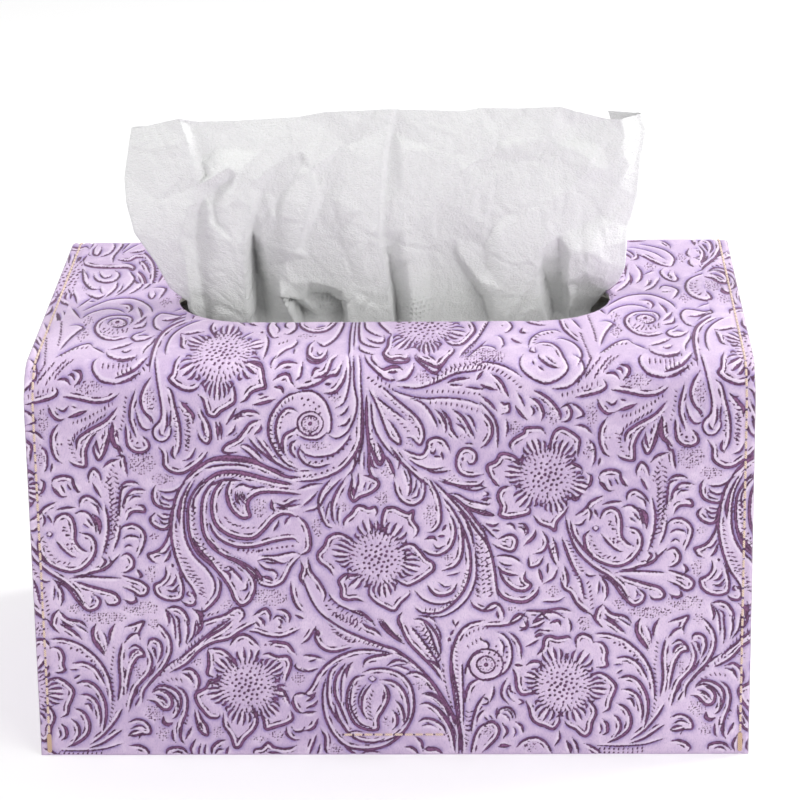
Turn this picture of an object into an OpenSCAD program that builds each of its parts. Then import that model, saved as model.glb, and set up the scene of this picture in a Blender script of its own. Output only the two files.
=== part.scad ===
/* [Cover] */
// Length of the cover, left to right
cover_length = 210; // [180:1:260]
// Depth of the cover, front to back
cover_depth = 140; // [125:1:180]
// Height of the cover
cover_height = 120; // [100:1:160]
// Thickness of the leather panels
leather = 2; // [1.5:0.1:2.5]
// Outer radius of the two folds along the top
fold_radius = 12; // [8:1:20]

/* [Mouth] */
// Length of the oval mouth in the top
mouth_length = 132; // [124:1:150]
// Width of the oval mouth, which is also the diameter of its round ends
mouth_width = 48; // [42:1:60]

/* [End seams] */
// Margin of each end panel that is turned outward under the edge of the main panel
seam_margin = 6; // [5:0.5:9]
// Inner radius where an end panel turns into its margin
turn_radius = 1.5; // [1:0.5:2.5]
// Distance of the seam's stitches from the raw edge
seam_inset = 2.6; // [2:0.1:3.5]
// Pitch of all stitches
stitch_pitch = 3; // [2.5:0.1:4]
// Share of the pitch that each stitch shows
stitch_share = 0.8; // [0.6:0.05:0.9]
// Thickness of the sewing thread
thread = 0.7; // [0.5:0.1:0.9]
// Depth of the line that the stitches press into the leather
stitch_sink = 0.35; // [0.2:0.05:0.5]
// Length of the back-tack at the foot of each seam
tack_length = 6; // [4:0.5:10]
// Width of the back-tack at the foot of each seam
tack_width = 1.3; // [1:0.1:2]
// Height of the first stitch above the foot of the wall
seam_start = 1; // [0.5:0.5:3]

/* [Straps] */
// Width of the two straps under the box
strap_width = 30; // [20:1:45]
// Thickness of the straps
strap_leather = 1.6; // [1.2:0.1:2]
// Length over which the two straps lap each other
strap_lap = 26; // [22:1:34]
// Space between the front strap and the surface that the cover stands on
strap_lift = 1.2; // [1:0.1:2]
// Radius of the corners at the straps' free ends
tip_radius = 5; // [2:0.5:10]
// Length of each strap that is sewn flat against its wall
tab_length = 11; // [9:0.5:16]
// Height of the front row of stitches above the foot of the wall
front_row_height = 6.5; // [6:0.5:10]
// Height of the rear row of stitches above the foot of the wall
rear_row_height = 11; // [10.5:0.5:14]
// Thickness of each half of the touch fastener
tape = 1; // [0.8:0.1:1.4]
// Margin of leather round each half of the touch fastener
tape_margin = 2.5; // [1.5:0.5:4]
// Distance of the tape's stitches from the tape's edge
tape_row_inset = 1.5; // [1:0.5:2.5]

/* [Carton] */
// Thickness of the carton's board
board = 0.6; // [0.4:0.1:0.9]
// Space between the carton and the cover
carton_gap = 1.5; // [0.5:0.5:3]
// How much further the carton's hole reaches than the mouth, all round
carton_hole_margin = 4; // [2:0.5:6]
// Share of each end that the carton's outer flap covers
flap_share = 0.6; // [0.4:0.05:0.95]

/* [Tissues] */
// Distance between the layers of folded tissue
layer_pitch = 2.2; // [1.8:0.1:3]
// Thickness of one drawn layer, which stands for several plies
layer = 1.7; // [1.2:0.1:1.7]
// Empty height between the folded tissues and the top of the carton
headspace = 13; // [8:1:24]
// Space between the folded tissues and the carton's walls
stack_gap = 2; // [1:0.5:5]

/* [Standing tissue] */
// Width of the standing tissue at its widest
sheet_width = 160; // [140:1:176]
// Space between the standing tissue and each end of the mouth
sheet_side_gap = 7; // [5:0.5:12]
// Height of the standing tissue above the cover
sheet_rise = 60; // [35:1:80]
// Thickness of the standing tissue with its folds pressed together
sheet_thickness = 0.9; // [0.6:0.1:1.4]
// Depth of the standing tissue's main folds, front to back
sheet_fold = 9; // [3:0.5:11]
// How far the standing tissue stands in front of the middle of the mouth
sheet_forward = 11; // [2:0.5:12]

/* [Hidden] */

$fn = 48;

// One overrun for every cut
over = 1;
// Glue line or pressed joint between two plies that lie face to face
ply_gap = 0.1;
// Clearance round pieces that lie loose or move
clearance = 0.3;

// Inside of the leather wrap
inner_depth = cover_depth - 2 * leather;
inner_height = cover_height - leather;
inner_radius = fold_radius - leather;

// Outer face of the end panels' turned margins, one glue line inside the wrap
margin_depth = inner_depth - 2 * ply_gap;
margin_height = inner_height - ply_gap;
margin_radius = inner_radius - ply_gap;

// Inner face of the margins, and the outer face of the end walls
shell_depth = margin_depth - 2 * leather;
shell_height = margin_height - leather;
shell_radius = margin_radius - leather;
end_wall_x = cover_length / 2 - seam_margin;
turn = turn_radius + leather;

// Middle of the stitches, outside on the wrap and inside on the margins
seam_x = cover_length / 2 - seam_inset;
stitch_length = stitch_share * stitch_pitch;
line_width = thread + 2 * ply_gap;
rise = ply_gap + thread / 2 - stitch_sink;
bobbin_rise = ply_gap + thread / 2;

// Straps, from the surface upward
knuckle = strap_leather / 2;
front_strap_z = strap_lift + knuckle;
rear_strap_z = front_strap_z + strap_leather + 2 * tape + clearance;
strap_axis_y = inner_depth / 2 - clearance - knuckle;
tape_depth = strap_lap - 2 * tape_margin;
tape_length = strap_width - 2 * tape_margin;

// Carton, from the rear strap's stitches up to where its upper edges meet the wrap's folds
carton_floor = rear_strap_z + knuckle + rise + thread / 2 + clearance;
carton_length = 2 * (end_wall_x - leather - carton_gap);
carton_body = carton_length - 2 * board;
carton_depth = shell_depth - 2 * carton_gap;
carton_edge = max(0, (carton_depth - inner_depth) / 2 + inner_radius);
carton_top = inner_height - inner_radius + sqrt(pow(inner_radius - clearance, 2) - pow(carton_edge, 2));
carton_height = carton_top - carton_floor;

// Folded tissues: each sheet spans three layers and holds an edge of both its neighbours
stack_length = carton_body - 2 * (board + stack_gap);
stack_depth = carton_depth - 2 * (board + stack_gap);
stack_foot = carton_floor + board + ply_gap;
stack_room = carton_top - board - headspace - stack_foot;
sheet_count = floor(((stack_room - layer) / layer_pitch + 1) / 2);
stack_top = stack_foot + (2 * sheet_count - 1) * layer_pitch + layer;
fold_room = (3 * layer_pitch + layer) / 2;

// Standing tissue, from the stack to its upper edge
sheet_foot = stack_top + clearance;
sheet_waist = mouth_length / 2 - sheet_side_gap;
sheet_half = sheet_width / 2;
sheet_columns = 44;
sheet_rows = 12;
foot_rows = 3;

// Side edges of the standing tissue, for levels from the foot at -1 through the mouth at 0 to
// the upper edge at 1: share of the waist, then how far each side spreads to the full width
waist_shares = [[-1, 0.82], [0, 1]];
left_shares = [[0, 0], [0.08, 0.4], [0.2, 0.6], [0.35, 0.88], [0.5, 1], [0.7, 0.98], [1, 0.88]];
right_shares = [[0, 0], [0.08, 0.36], [0.2, 0.48], [0.35, 0.52], [0.5, 0.6], [0.7, 0.7], [1, 0.8]];
// Main folds: place at the mouth, place at the upper edge and half width, in shares of the half
// width, then depth at the mouth and at the upper edge, in shares of the fold depth to the rear
fold_shares = [
    [-0.90, -0.97, 0.11, 0.35, 1.00], [-0.72, -0.77, 0.09, -0.60, -0.80],
    [-0.52, -0.42, 0.08, 0.75, 0.30], [-0.33, -0.24, 0.11, -0.50, -0.45],
    [-0.02, 0.02, 0.07, 0.45, 0.60], [0.20, 0.25, 0.12, -0.30, -0.55],
    [0.42, 0.36, 0.09, -0.50, -0.20], [0.61, 0.58, 0.08, 0.80, 0.15],
    [0.76, 0.80, 0.09, -0.55, -0.60], [0.92, 0.99, 0.11, 0.30, 0.90]
];
// Dips of the upper edge: place and half width in shares of the half width, depth in shares of
// the rise
dip_shares = [[-1, 0.1, 0.1], [-0.72, 0.06, 0.02], [-0.45, 0.2, 0.03], [0.86, 0.1, 0.04]];

// Outline of the wrap seen from the end, open at the foot
module wrap_outline(depth, height, radius) {
    translate([-depth / 2, 0]) square([depth, height - radius]);
    translate([-depth / 2 + radius, 0]) square([depth - 2 * radius, height]);
    for (side = [-1, 1]) translate([side * (depth / 2 - radius), height - radius]) circle(radius);
}

// Inside of a wrap, cut through at the foot
module wrap_hollow(depth, height, radius) {
    translate([0, -over]) wrap_outline(depth, height + over, radius);
}

// Turns an outline drawn in depth and height into a plate of a given thickness from place x
module plate_from(x, thickness) {
    translate([x, 0, 0]) rotate([90, 0, 90]) linear_extrude(thickness) children();
}

// Rectangle with round ends, its long side along X
module oval(length, width) {
    square([length - width, width], center = true);
    for (side = [-1, 1]) translate([side * (length - width) / 2, 0]) circle(width / 2);
}

module main_panel() color("thistle") difference() {
    plate_from(-cover_length / 2, cover_length) difference() {
        wrap_outline(cover_depth, cover_height, fold_radius);
        wrap_hollow(inner_depth, inner_height, inner_radius);
    }
    translate([0, 0, inner_height - over]) linear_extrude(leather + 2 * over)
        oval(mouth_length, mouth_width);
    for (side = [-1, 1]) {
        seam_line(side * seam_x);
        for (end = [-1, 1]) mirror([0, end < 0 ? 0 : 1, 0]) tack_pocket(side * seam_x);
    }
    anchor_line(front_row_height);
    mirror([0, 1, 0]) anchor_line(rear_row_height);
}

// Line that the seam's stitches press into the wrap
module seam_line(x) {
    plate_from(x - line_width / 2, line_width) difference() {
        wrap_hollow(cover_depth + 2 * over, cover_height + over, fold_radius + over);
        wrap_hollow(cover_depth - 2 * stitch_sink, cover_height - stitch_sink, fold_radius - stitch_sink);
    }
}

// Pocket that a back-tack presses into the front wall
module tack_pocket(x) {
    translate([x - tack_width / 2 - ply_gap, -cover_depth / 2 - over, seam_start - ply_gap])
        cube([tack_width + 2 * ply_gap, over + stitch_sink, tack_length + 2 * ply_gap]);
}

// Line that a strap's row of stitches presses into the front wall
module anchor_line(height) {
    translate([-strap_width / 2, -cover_depth / 2 - over, height - line_width / 2])
        cube([strap_width, over + stitch_sink, line_width]);
}

// End wall with its margins turned outward, drawn for the right side of the cover
module end_wall() {
    plate_from(end_wall_x - leather, leather)
        wrap_outline(shell_depth - 2 * turn_radius, shell_height - turn_radius, shell_radius - turn_radius);
    plate_from(end_wall_x + turn_radius, seam_margin - turn_radius) difference() {
        wrap_outline(margin_depth, margin_height, margin_radius);
        wrap_hollow(shell_depth, shell_height, shell_radius);
    }
    translate([end_wall_x + turn_radius, 0, 0]) turned_edge();
}

// Quarter round between the end wall and its margin, up both sides and over the top
module turned_edge() {
    fold_y = margin_depth / 2 - margin_radius;
    fold_z = margin_height - margin_radius;
    for (side = [0, 1]) mirror([0, side, 0]) {
        translate([0, margin_depth / 2 - turn, 0]) linear_extrude(fold_z) rotate(90) quarter_ring();
        translate([0, fold_y, fold_z]) rotate([0, -90, 0]) rotate_extrude(angle = 90)
            translate([margin_radius - turn, 0]) quarter_ring();
    }
    translate([0, -fold_y, margin_height - turn]) rotate([-90, 0, 0])
        linear_extrude(2 * fold_y) rotate(180) quarter_ring();
}

// Quarter of a ring one leather thick, on the side of +X and +Y
module quarter_ring() intersection() {
    difference() {
        circle(turn);
        circle(turn_radius);
    }
    square(turn);
}

module left_end_panel() color("plum") mirror([1, 0, 0]) end_wall();

module right_end_panel() color("plum") end_wall();

// One stitch along X, centred on its place
module stitch() {
    straight = stitch_length - thread;
    translate([-straight / 2, 0, 0]) rotate([0, 90, 0]) cylinder(h = straight, d = thread, $fn = 16);
    for (side = [-1, 1]) translate([side * straight / 2, 0, 0]) sphere(d = thread, $fn = 16);
}

// Middles of the stitches in a straight row
function stitch_places(from, to) = let (count = max(1, floor((to - from) / stitch_pitch)))
    [for (i = [0 : count - 1]) from + (i + 0.5) * (to - from) / count];

// Angles of the stitches round a fold, from upright
function stitch_angles(radius) = let (count = max(1, floor(radius * PI / 2 / stitch_pitch)))
    [for (i = [0 : count - 1]) (i + 0.5) * 90 / count];

// Row of stitches along X, centred
module stitch_row(length) {
    for (x = stitch_places(-length / 2, length / 2)) translate([x, 0, 0]) stitch();
}

// Stitches of a seam, up both walls of a wrap of this size, round its folds and over its top
module seam(x, depth, height, radius) {
    for (side = [-1, 1]) {
        for (z = stitch_places(seam_start + tack_length, height - radius))
            translate([x, side * depth / 2, z]) rotate([0, 90, 0]) stitch();
        for (angle = stitch_angles(radius))
            translate([x, side * (depth / 2 - radius), height - radius])
                rotate([-side * angle, 0, 0]) translate([0, 0, radius]) rotate([0, 0, 90]) stitch();
    }
    for (y = stitch_places(-depth / 2 + radius, depth / 2 - radius))
        translate([x, y, height]) rotate([0, 0, 90]) stitch();
}

module outer_seam(x) color("wheat")
    seam(x, cover_depth + 2 * rise, cover_height + rise, fold_radius + rise);

module bobbin_seam(x) color("tan")
    seam(x, shell_depth - 2 * bobbin_rise, shell_height - bobbin_rise, shell_radius - bobbin_rise);

module left_seam_thread() outer_seam(-seam_x);

module right_seam_thread() outer_seam(seam_x);

module left_seam_bobbin_thread() bobbin_seam(-seam_x);

module right_seam_bobbin_thread() bobbin_seam(seam_x);

module seam_back_tacks() color("tan")
    for (x = [-seam_x, seam_x], end = [0, 1]) mirror([0, end, 0])
        translate([x, -cover_depth / 2 + stitch_sink - ply_gap, seam_start + tack_length / 2])
            rotate([90, 90, 0]) linear_extrude(thread) oval(tack_length, tack_width);

// Part of a strap that is sewn flat to the front wall, above the fold at height z
module strap_tab(z) {
    translate([-strap_width / 2, -inner_depth / 2 + ply_gap, z + knuckle + clearance])
        cube([strap_width, strap_leather, tab_length]);
}

// Loose part of the front strap, from its fold to its rounded end, with its middle at height 0
module strap_flap() {
    difference() {
        translate([0, 0, -knuckle]) linear_extrude(strap_leather) strap_outline();
        translate([0, 0, -knuckle - over]) linear_extrude(over + stitch_sink) tape_line();
    }
    translate([-strap_width / 2, -strap_axis_y, 0]) rotate([0, 90, 0])
        cylinder(h = strap_width, r = knuckle);
}

module strap_outline() {
    end_y = strap_lap / 2;
    translate([-strap_width / 2, -strap_axis_y])
        square([strap_width, strap_axis_y + end_y - tip_radius]);
    translate([-strap_width / 2 + tip_radius, -strap_axis_y])
        square([strap_width - 2 * tip_radius, strap_axis_y + end_y]);
    for (side = [-1, 1])
        translate([side * (strap_width / 2 - tip_radius), end_y - tip_radius]) circle(tip_radius);
}

// Line that a tape's stitches press into its strap, right round the tape
module tape_line() {
    length = tape_length - 2 * tape_row_inset;
    depth = tape_depth - 2 * tape_row_inset;
    difference() {
        square([length + line_width, depth + line_width], center = true);
        square([length - line_width, depth - line_width], center = true);
    }
}

// Stitches of a tape on the underside of the front strap, with the strap's middle at height 0
module tape_stitches() translate([0, 0, -knuckle - rise]) {
    length = tape_length - 2 * tape_row_inset;
    depth = tape_depth - 2 * tape_row_inset;
    for (side = [-1, 1]) {
        translate([0, side * depth / 2, 0]) stitch_row(length);
        translate([side * length / 2, 0, 0]) rotate([0, 0, 90]) stitch_row(depth - 2 * thread);
    }
}

// Row of stitches through the front wall and a strap's tab, needle side and bobbin side
module anchor_stitches(height) {
    translate([0, -cover_depth / 2 - rise, height]) stitch_row(strap_width);
    translate([0, -inner_depth / 2 + strap_leather + 2 * ply_gap + thread / 2, height])
        stitch_row(strap_width);
}

module front_strap_tab() color("mediumpurple") strap_tab(front_strap_z);

module rear_strap_tab() color("mediumpurple") mirror([0, 1, 0]) strap_tab(rear_strap_z);

module front_strap() color("mediumpurple") translate([0, 0, front_strap_z]) strap_flap();

module rear_strap() color("mediumpurple") translate([0, 0, rear_strap_z]) rotate([180, 0, 0]) strap_flap();

// One half of the touch fastener, lying on height z
module tape_half(z) {
    translate([-tape_length / 2, -tape_depth / 2, z]) cube([tape_length, tape_depth, tape]);
}

module hook_tape() color("dimgray") tape_half(front_strap_z + knuckle);

module loop_tape() color("gray") tape_half(rear_strap_z - knuckle - tape);

module hook_tape_stitching() color("wheat") translate([0, 0, front_strap_z]) tape_stitches();

module loop_tape_stitching() color("wheat")
    translate([0, 0, rear_strap_z]) rotate([180, 0, 0]) tape_stitches();

module front_anchor_stitching() color("wheat") anchor_stitches(front_row_height);

module rear_anchor_stitching() color("wheat") mirror([0, 1, 0]) anchor_stitches(rear_row_height);

// Box centred in length and depth, from height z
module block(length, depth, z, height) {
    translate([-length / 2, -depth / 2, z]) cube([length, depth, height]);
}

module tissue_carton() color("lightgray") {
    difference() {
        block(carton_body, carton_depth, carton_floor, carton_height);
        block(carton_body - 2 * board, carton_depth - 2 * board, carton_floor + board,
            carton_height - 2 * board);
        translate([0, 0, carton_top - board - over]) linear_extrude(board + 2 * over)
            oval(mouth_length + 2 * carton_hole_margin, mouth_width + 2 * carton_hole_margin);
    }
    flap = flap_share * carton_height;
    for (side = [0, 1]) mirror([side, 0, 0])
        translate([carton_body / 2, -carton_depth / 2, carton_top - flap])
            cube([board, carton_depth, flap]);
}

module tissue_stack() color("whitesmoke")
    for (i = [1 : sheet_count]) {
        first = max(0, 2 * i - 3);
        last = min(max(2, 2 * i), 2 * sheet_count - 1);
        mirror([0, i % 2, 0]) translate([0, 0, stack_foot + first * layer_pitch])
            plate_from(-stack_length / 2, stack_length) folded_sheet(last - first);
    }

// One folded tissue seen from the end, its fold to the rear, spanning this many layers
module folded_sheet(span) {
    radius = (span * layer_pitch + layer) / 2;
    free_edge = stack_depth / 2 - fold_room;
    for (level = [0, span]) translate([-free_edge, level * layer_pitch])
        square([free_edge + stack_depth / 2 - radius, layer]);
    translate([stack_depth / 2 - radius, radius]) intersection() {
        difference() {
            circle(radius);
            circle(radius - layer);
        }
        translate([0, -radius]) square([radius, 2 * radius]);
    }
}

// Smooth bump of height 1 at place, falling off within width
function bump(u, place, width) = exp(-pow((u - place) / width, 2));

function total(list) = [for (item = list) 1] * list;

// Half width of the standing tissue at a level, left of the middle or right of it
function half_width(level, spread_shares) = sheet_waist * lookup(level, waist_shares)
    + (sheet_half - sheet_waist) * lookup(level, spread_shares);

function sheet_x(u, level) = u * half_width(level, u < 0 ? left_shares : right_shares);

function sheet_y(u, level) = let (open = max(0, level)) -sheet_forward + sheet_fold
    * total([for (f = fold_shares) ((1 - open) * f[3] + open * f[4])
        * bump(u, (1 - open) * f[0] + open * f[1], f[2])]);

function sheet_z(u, level) = level < 0
    ? cover_height + level * (cover_height - sheet_foot)
    : cover_height + sheet_rise * level * (1 - level * total([for (d = dip_shares) d[2] * bump(u, d[0], d[1])]));

function sheet_point(u, level, side) =
    [sheet_x(u, level), sheet_y(u, level) + side * sheet_thickness / 2, sheet_z(u, level)];

function sheet_level(row) = row < foot_rows ? row / foot_rows - 1 : (row - foot_rows) / (sheet_rows - foot_rows);

module popped_tissue() color("white") {
    across = sheet_columns + 1;
    face_points = across * (sheet_rows + 1);
    points = [for (side = [-1, 1], row = [0 : sheet_rows], column = [0 : sheet_columns])
        sheet_point(2 * column / sheet_columns - 1, sheet_level(row), side)];
    sides = [for (row = [0 : sheet_rows - 1], column = [0 : sheet_columns - 1]) let (a = row * across + column)
        each [[a, a + across, a + 1], [a + 1, a + across, a + across + 1],
            [face_points + a, face_points + a + 1, face_points + a + across],
            [face_points + a + 1, face_points + a + across + 1, face_points + a + across]]];
    // Rim, followed once round the grid
    rim = concat(
        [for (column = [0 : sheet_columns]) column],
        [for (row = [1 : sheet_rows]) row * across + sheet_columns],
        [for (column = [1 : sheet_columns]) sheet_rows * across + sheet_columns - column],
        [for (row = [1 : sheet_rows - 1]) (sheet_rows - row) * across]
    );
    edges = [for (i = [0 : len(rim) - 1]) let (a = rim[i], b = rim[(i + 1) % len(rim)])
        each [[a, b, face_points + a], [b, face_points + b, face_points + a]]];
    polyhedron(points, concat(sides, edges));
}

main_panel();
left_end_panel();
right_end_panel();
left_seam_thread();
right_seam_thread();
left_seam_bobbin_thread();
right_seam_bobbin_thread();
seam_back_tacks();
front_strap_tab();
front_strap();
rear_strap_tab();
rear_strap();
hook_tape();
loop_tape();
hook_tape_stitching();
loop_tape_stitching();
front_anchor_stitching();
rear_anchor_stitching();
tissue_carton();
tissue_stack();
popped_tissue();
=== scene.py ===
import math
import bpy
import numpy as np
from mathutils import Matrix, Vector, geometry


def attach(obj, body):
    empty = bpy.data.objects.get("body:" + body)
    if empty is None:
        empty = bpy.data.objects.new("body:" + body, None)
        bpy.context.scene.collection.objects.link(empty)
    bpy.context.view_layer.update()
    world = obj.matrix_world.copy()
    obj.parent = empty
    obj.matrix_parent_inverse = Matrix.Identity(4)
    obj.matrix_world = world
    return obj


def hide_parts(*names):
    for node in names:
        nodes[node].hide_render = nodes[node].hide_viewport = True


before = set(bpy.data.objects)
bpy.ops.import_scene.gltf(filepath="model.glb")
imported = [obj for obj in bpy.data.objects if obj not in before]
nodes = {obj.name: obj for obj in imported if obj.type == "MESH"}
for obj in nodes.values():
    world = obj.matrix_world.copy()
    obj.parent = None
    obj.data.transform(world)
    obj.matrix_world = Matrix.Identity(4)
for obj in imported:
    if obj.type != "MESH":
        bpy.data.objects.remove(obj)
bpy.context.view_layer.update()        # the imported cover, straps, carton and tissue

mm = 0.001


# small helpers for shader nodes

def rgb(red, green, blue):        # a colour read off a screen, 0 to 255
    def straight(v):
        v = v / 255
        return v / 12.92 if v < 0.04045 else ((v + 0.055) / 1.055) ** 2.4
    return (straight(red), straight(green), straight(blue), 1)


def shade(colour, share):        # the same colour darker, or lighter up to white
    return rgb(*(min(255, c * share) for c in colour))


class Shop:        # one material being wired up
    def __init__(self, name, rough, sheen=0.0):
        self.material = bpy.data.materials.new(name)
        self.material.use_nodes = True
        self.tree = self.material.node_tree
        self.shader = self.tree.nodes["Principled BSDF"]
        self.shader.inputs["Roughness"].default_value = rough
        self.shader.inputs["Sheen Weight"].default_value = sheen
        self.place = self.node("ShaderNodeTexCoord").outputs["Object"]

    def node(self, kind, **settings):
        made = self.tree.nodes.new(kind)
        for key, value in settings.items():
            setattr(made, key, value)
        return made

    def feed(self, made, **values):        # i0, i1 and so on are sockets by number, other keys are their names
        for key, value in values.items():
            socket = made.inputs[int(key[1:])] if key[0] == "i" and key[1:].isdigit() else made.inputs[key]
            if isinstance(value, bpy.types.NodeSocket):
                self.tree.links.new(value, socket)
            else:
                socket.default_value = value
        return made

    def sum(self, how, a, b=0.0):
        return self.feed(self.node("ShaderNodeMath", operation=how), i0=a, i1=b).outputs[0]

    def noise(self, scale, detail=2.0, rough=0.5, place=None):
        made = self.node("ShaderNodeTexNoise")
        self.feed(made, Vector=place or self.place, Scale=scale, Detail=detail, Roughness=rough)
        return made.outputs["Fac"]

    def cells(self, scale, place=None, random=1.0):
        made = self.node("ShaderNodeTexVoronoi", feature="F1")
        return self.feed(made, Vector=place or self.place, Scale=scale, Randomness=random).outputs["Distance"]

    def bands(self, scale, way, wavy):
        made = self.node("ShaderNodeTexWave", wave_type="BANDS", bands_direction=way)
        return self.feed(made, Vector=self.place, Scale=scale, Distortion=wavy).outputs["Fac"]

    def mapped(self, scale, place=None):
        return self.feed(self.node("ShaderNodeMapping"), Vector=place or self.place, Scale=scale).outputs["Vector"]

    def span(self, value, low, high, first=0.0, last=1.0):
        made = self.node("ShaderNodeMapRange", interpolation_type="SMOOTHSTEP")
        return self.feed(made, i0=value, i1=low, i2=high, i3=first, i4=last).outputs[0]

    def attribute(self, name):
        return self.node("ShaderNodeAttribute", attribute_name=name).outputs["Fac"]

    def mix(self, share, a, b):
        return self.feed(self.node("ShaderNodeMix", data_type="RGBA"), i0=share, i6=a, i7=b).outputs[2]

    def finish(self, colour, height, depth, strength, rough=None):
        self.feed(self.shader, **{"Base Color": colour})
        if rough is not None:
            self.feed(self.shader, Roughness=rough)
        bump = self.feed(self.node("ShaderNodeBump"), Height=height, Distance=depth, Strength=strength)
        self.tree.links.new(bump.outputs[0], self.shader.inputs["Normal"])
        return self.material


def dress(names, material):
    for name in names:
        slots = nodes[name].data.materials
        if len(slots):
            for i in range(len(slots)):
                slots[i] = material
        else:
            slots.append(material)


def setFloat(mesh, name, values):
    found = mesh.attributes.get(name) or mesh.attributes.new(name, "FLOAT", "POINT")
    found.data.foreach_set("value", np.ascontiguousarray(values, np.float32).ravel())


def getVectors(data, name, count):
    values = np.zeros(count * 3, np.float32)
    data.foreach_get(name, values)
    return values.reshape(-1, 3)


def setPlaces(mesh, place):
    mesh.vertices.foreach_set("co", place.reshape(-1, 3).astype(np.float32).ravel())


def loopPoints(mesh):        # which point each face corner uses
    points = np.zeros(len(mesh.loops), np.int32)
    mesh.loops.foreach_get("vertex_index", points)
    return points


def gridSheet(name, rows, columns):
    bpy.ops.object.select_all(action="DESELECT")
    bpy.ops.mesh.primitive_grid_add(x_subdivisions=columns - 1, y_subdivisions=rows - 1, size=1, location=(0, 0, 0))
    sheet = bpy.context.object
    sheet.name = sheet.data.name = name
    return sheet


# camera at the photograph's angle

print("camera")
view = {"place": (0.030, -1.010, 0.437), "down": 19.10, "turn": -1.63, "tilt": -0.81,
        "lens": 156.33, "sensor": 36, "frame": 800}
viewScale = view["lens"] / view["sensor"] * view["frame"]        # pixels of the square frame per unit of slope


def cameraAxes():
    down, turn, tilt = (math.radians(view[key]) for key in ("down", "turn", "tilt"))
    ahead = Vector((math.sin(turn) * math.cos(down), math.cos(turn) * math.cos(down), -math.sin(down)))
    right = Vector((math.cos(turn), -math.sin(turn), 0))
    up = right.cross(ahead)
    return right * math.cos(tilt) + up * math.sin(tilt), up * math.cos(tilt) - right * math.sin(tilt), ahead


def placeCamera():
    right, up, ahead = cameraAxes()
    bpy.ops.object.camera_add(location=view["place"])
    camera = bpy.context.object
    axes = Matrix((right, up, -ahead)).transposed().to_4x4()
    camera.matrix_world = Matrix.Translation(view["place"]) @ axes
    camera.data.lens = view["lens"]
    camera.data.sensor_width = view["sensor"]
    camera.data.clip_end = 50
    bpy.context.scene.camera = camera


placeCamera()


# finishes

print("finishes")
# the leather's colours; violet also serves as the painted shade beside the cuts, and the near-white one is a painted
# highlight for their rims
lilac = {"base": (220, 198, 226), "deep": (203, 180, 212), "pale": (236, 217, 240), "violet": (128, 102, 170),
         "paintedHighlight": (252, 240, 254), "ink": (66, 24, 62), "inkWorn": (104, 60, 104), "plum": (138, 88, 132)}
hideLook = {"crumble": 1500, "patch": 210, "broad": 17, "speck": 3200, "hatch": (5200, 1500, 1500), "worn": 520,
            "cells": 1500, "fine": 900, "fineShare": 0.8, "rimHighlight": 0.42, "ragged": 0.75, "rough": (0.44, 0.56)}


def tooledLeather(name, tint):        # lilac leather, plum dye in the cuts, painted violet shade beside them and a painted highlight on their rims
    shop = Shop(name, 0.5)
    tone = {key: rgb(*(c * t for c, t in zip(colour, tint))) for key, colour in lilac.items()}
    line, halo, rimHighlight = (shop.attribute(key) for key in ("line", "halo", "rimHighlight"))
    crumble = shop.noise(hideLook["crumble"], 3, 0.6)
    patch = shop.noise(hideLook["patch"], 2, 0.6)
    broad = shop.noise(hideLook["broad"], 2, 0.5)
    speck = shop.noise(hideLook["speck"], 2, 0.7)
    field = shop.mix(shop.span(broad, 0.36, 0.66), tone["deep"], tone["base"])
    field = shop.mix(shop.span(patch, 0.45, 0.75, 0, 0.55), field, tone["pale"])
    field = shop.mix(shop.span(speck, 0.52, 0.72, 0, 0.5), field, tone["deep"])
    hatch = shop.noise(1.0, 2, 0.6, shop.mapped(hideLook["hatch"]))        # fine combing left by the plate
    field = shop.mix(shop.span(hatch, 0.5, 0.68, 0, 0.3), field, tone["violet"])
    # painted violet shade on the sunk, bevelled side of each cut
    beside = shop.sum("MULTIPLY", halo, shop.span(crumble, 0.25, 0.6, 0.4, 1.0))
    field = shop.mix(beside, field, tone["violet"])
    # painted highlight along the raised rim beside each cut
    field = shop.mix(shop.sum("MULTIPLY", rimHighlight, hideLook["rimHighlight"]), field, tone["paintedHighlight"])
    uneven = shop.sum("MULTIPLY", shop.sum("SUBTRACT", crumble, 0.5), hideLook["ragged"])
    dye = shop.span(shop.sum("ADD", line, uneven), 0.1, -0.04)
    worn = shop.span(shop.noise(hideLook["worn"], 3, 0.65), 0.42, 0.68)
    ink = shop.mix(worn, tone["ink"], tone["inkWorn"])
    heart = shop.sum("MULTIPLY", shop.span(line, -0.12, -0.4), shop.span(crumble, 0.35, 0.6, 0.2, 1.0))
    ink = shop.mix(heart, ink, tone["plum"])        # wide cuts are paler inside
    fine = shop.sum("MULTIPLY", shop.noise(hideLook["fine"], 3), hideLook["fineShare"])
    grain = shop.sum("ADD", shop.cells(hideLook["cells"]), fine)
    rough = shop.span(patch, 0.3, 0.7, *hideLook["rough"])
    return shop.finish(shop.mix(dye, field, ink), grain, 0.00006, 0.55, rough)


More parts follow.
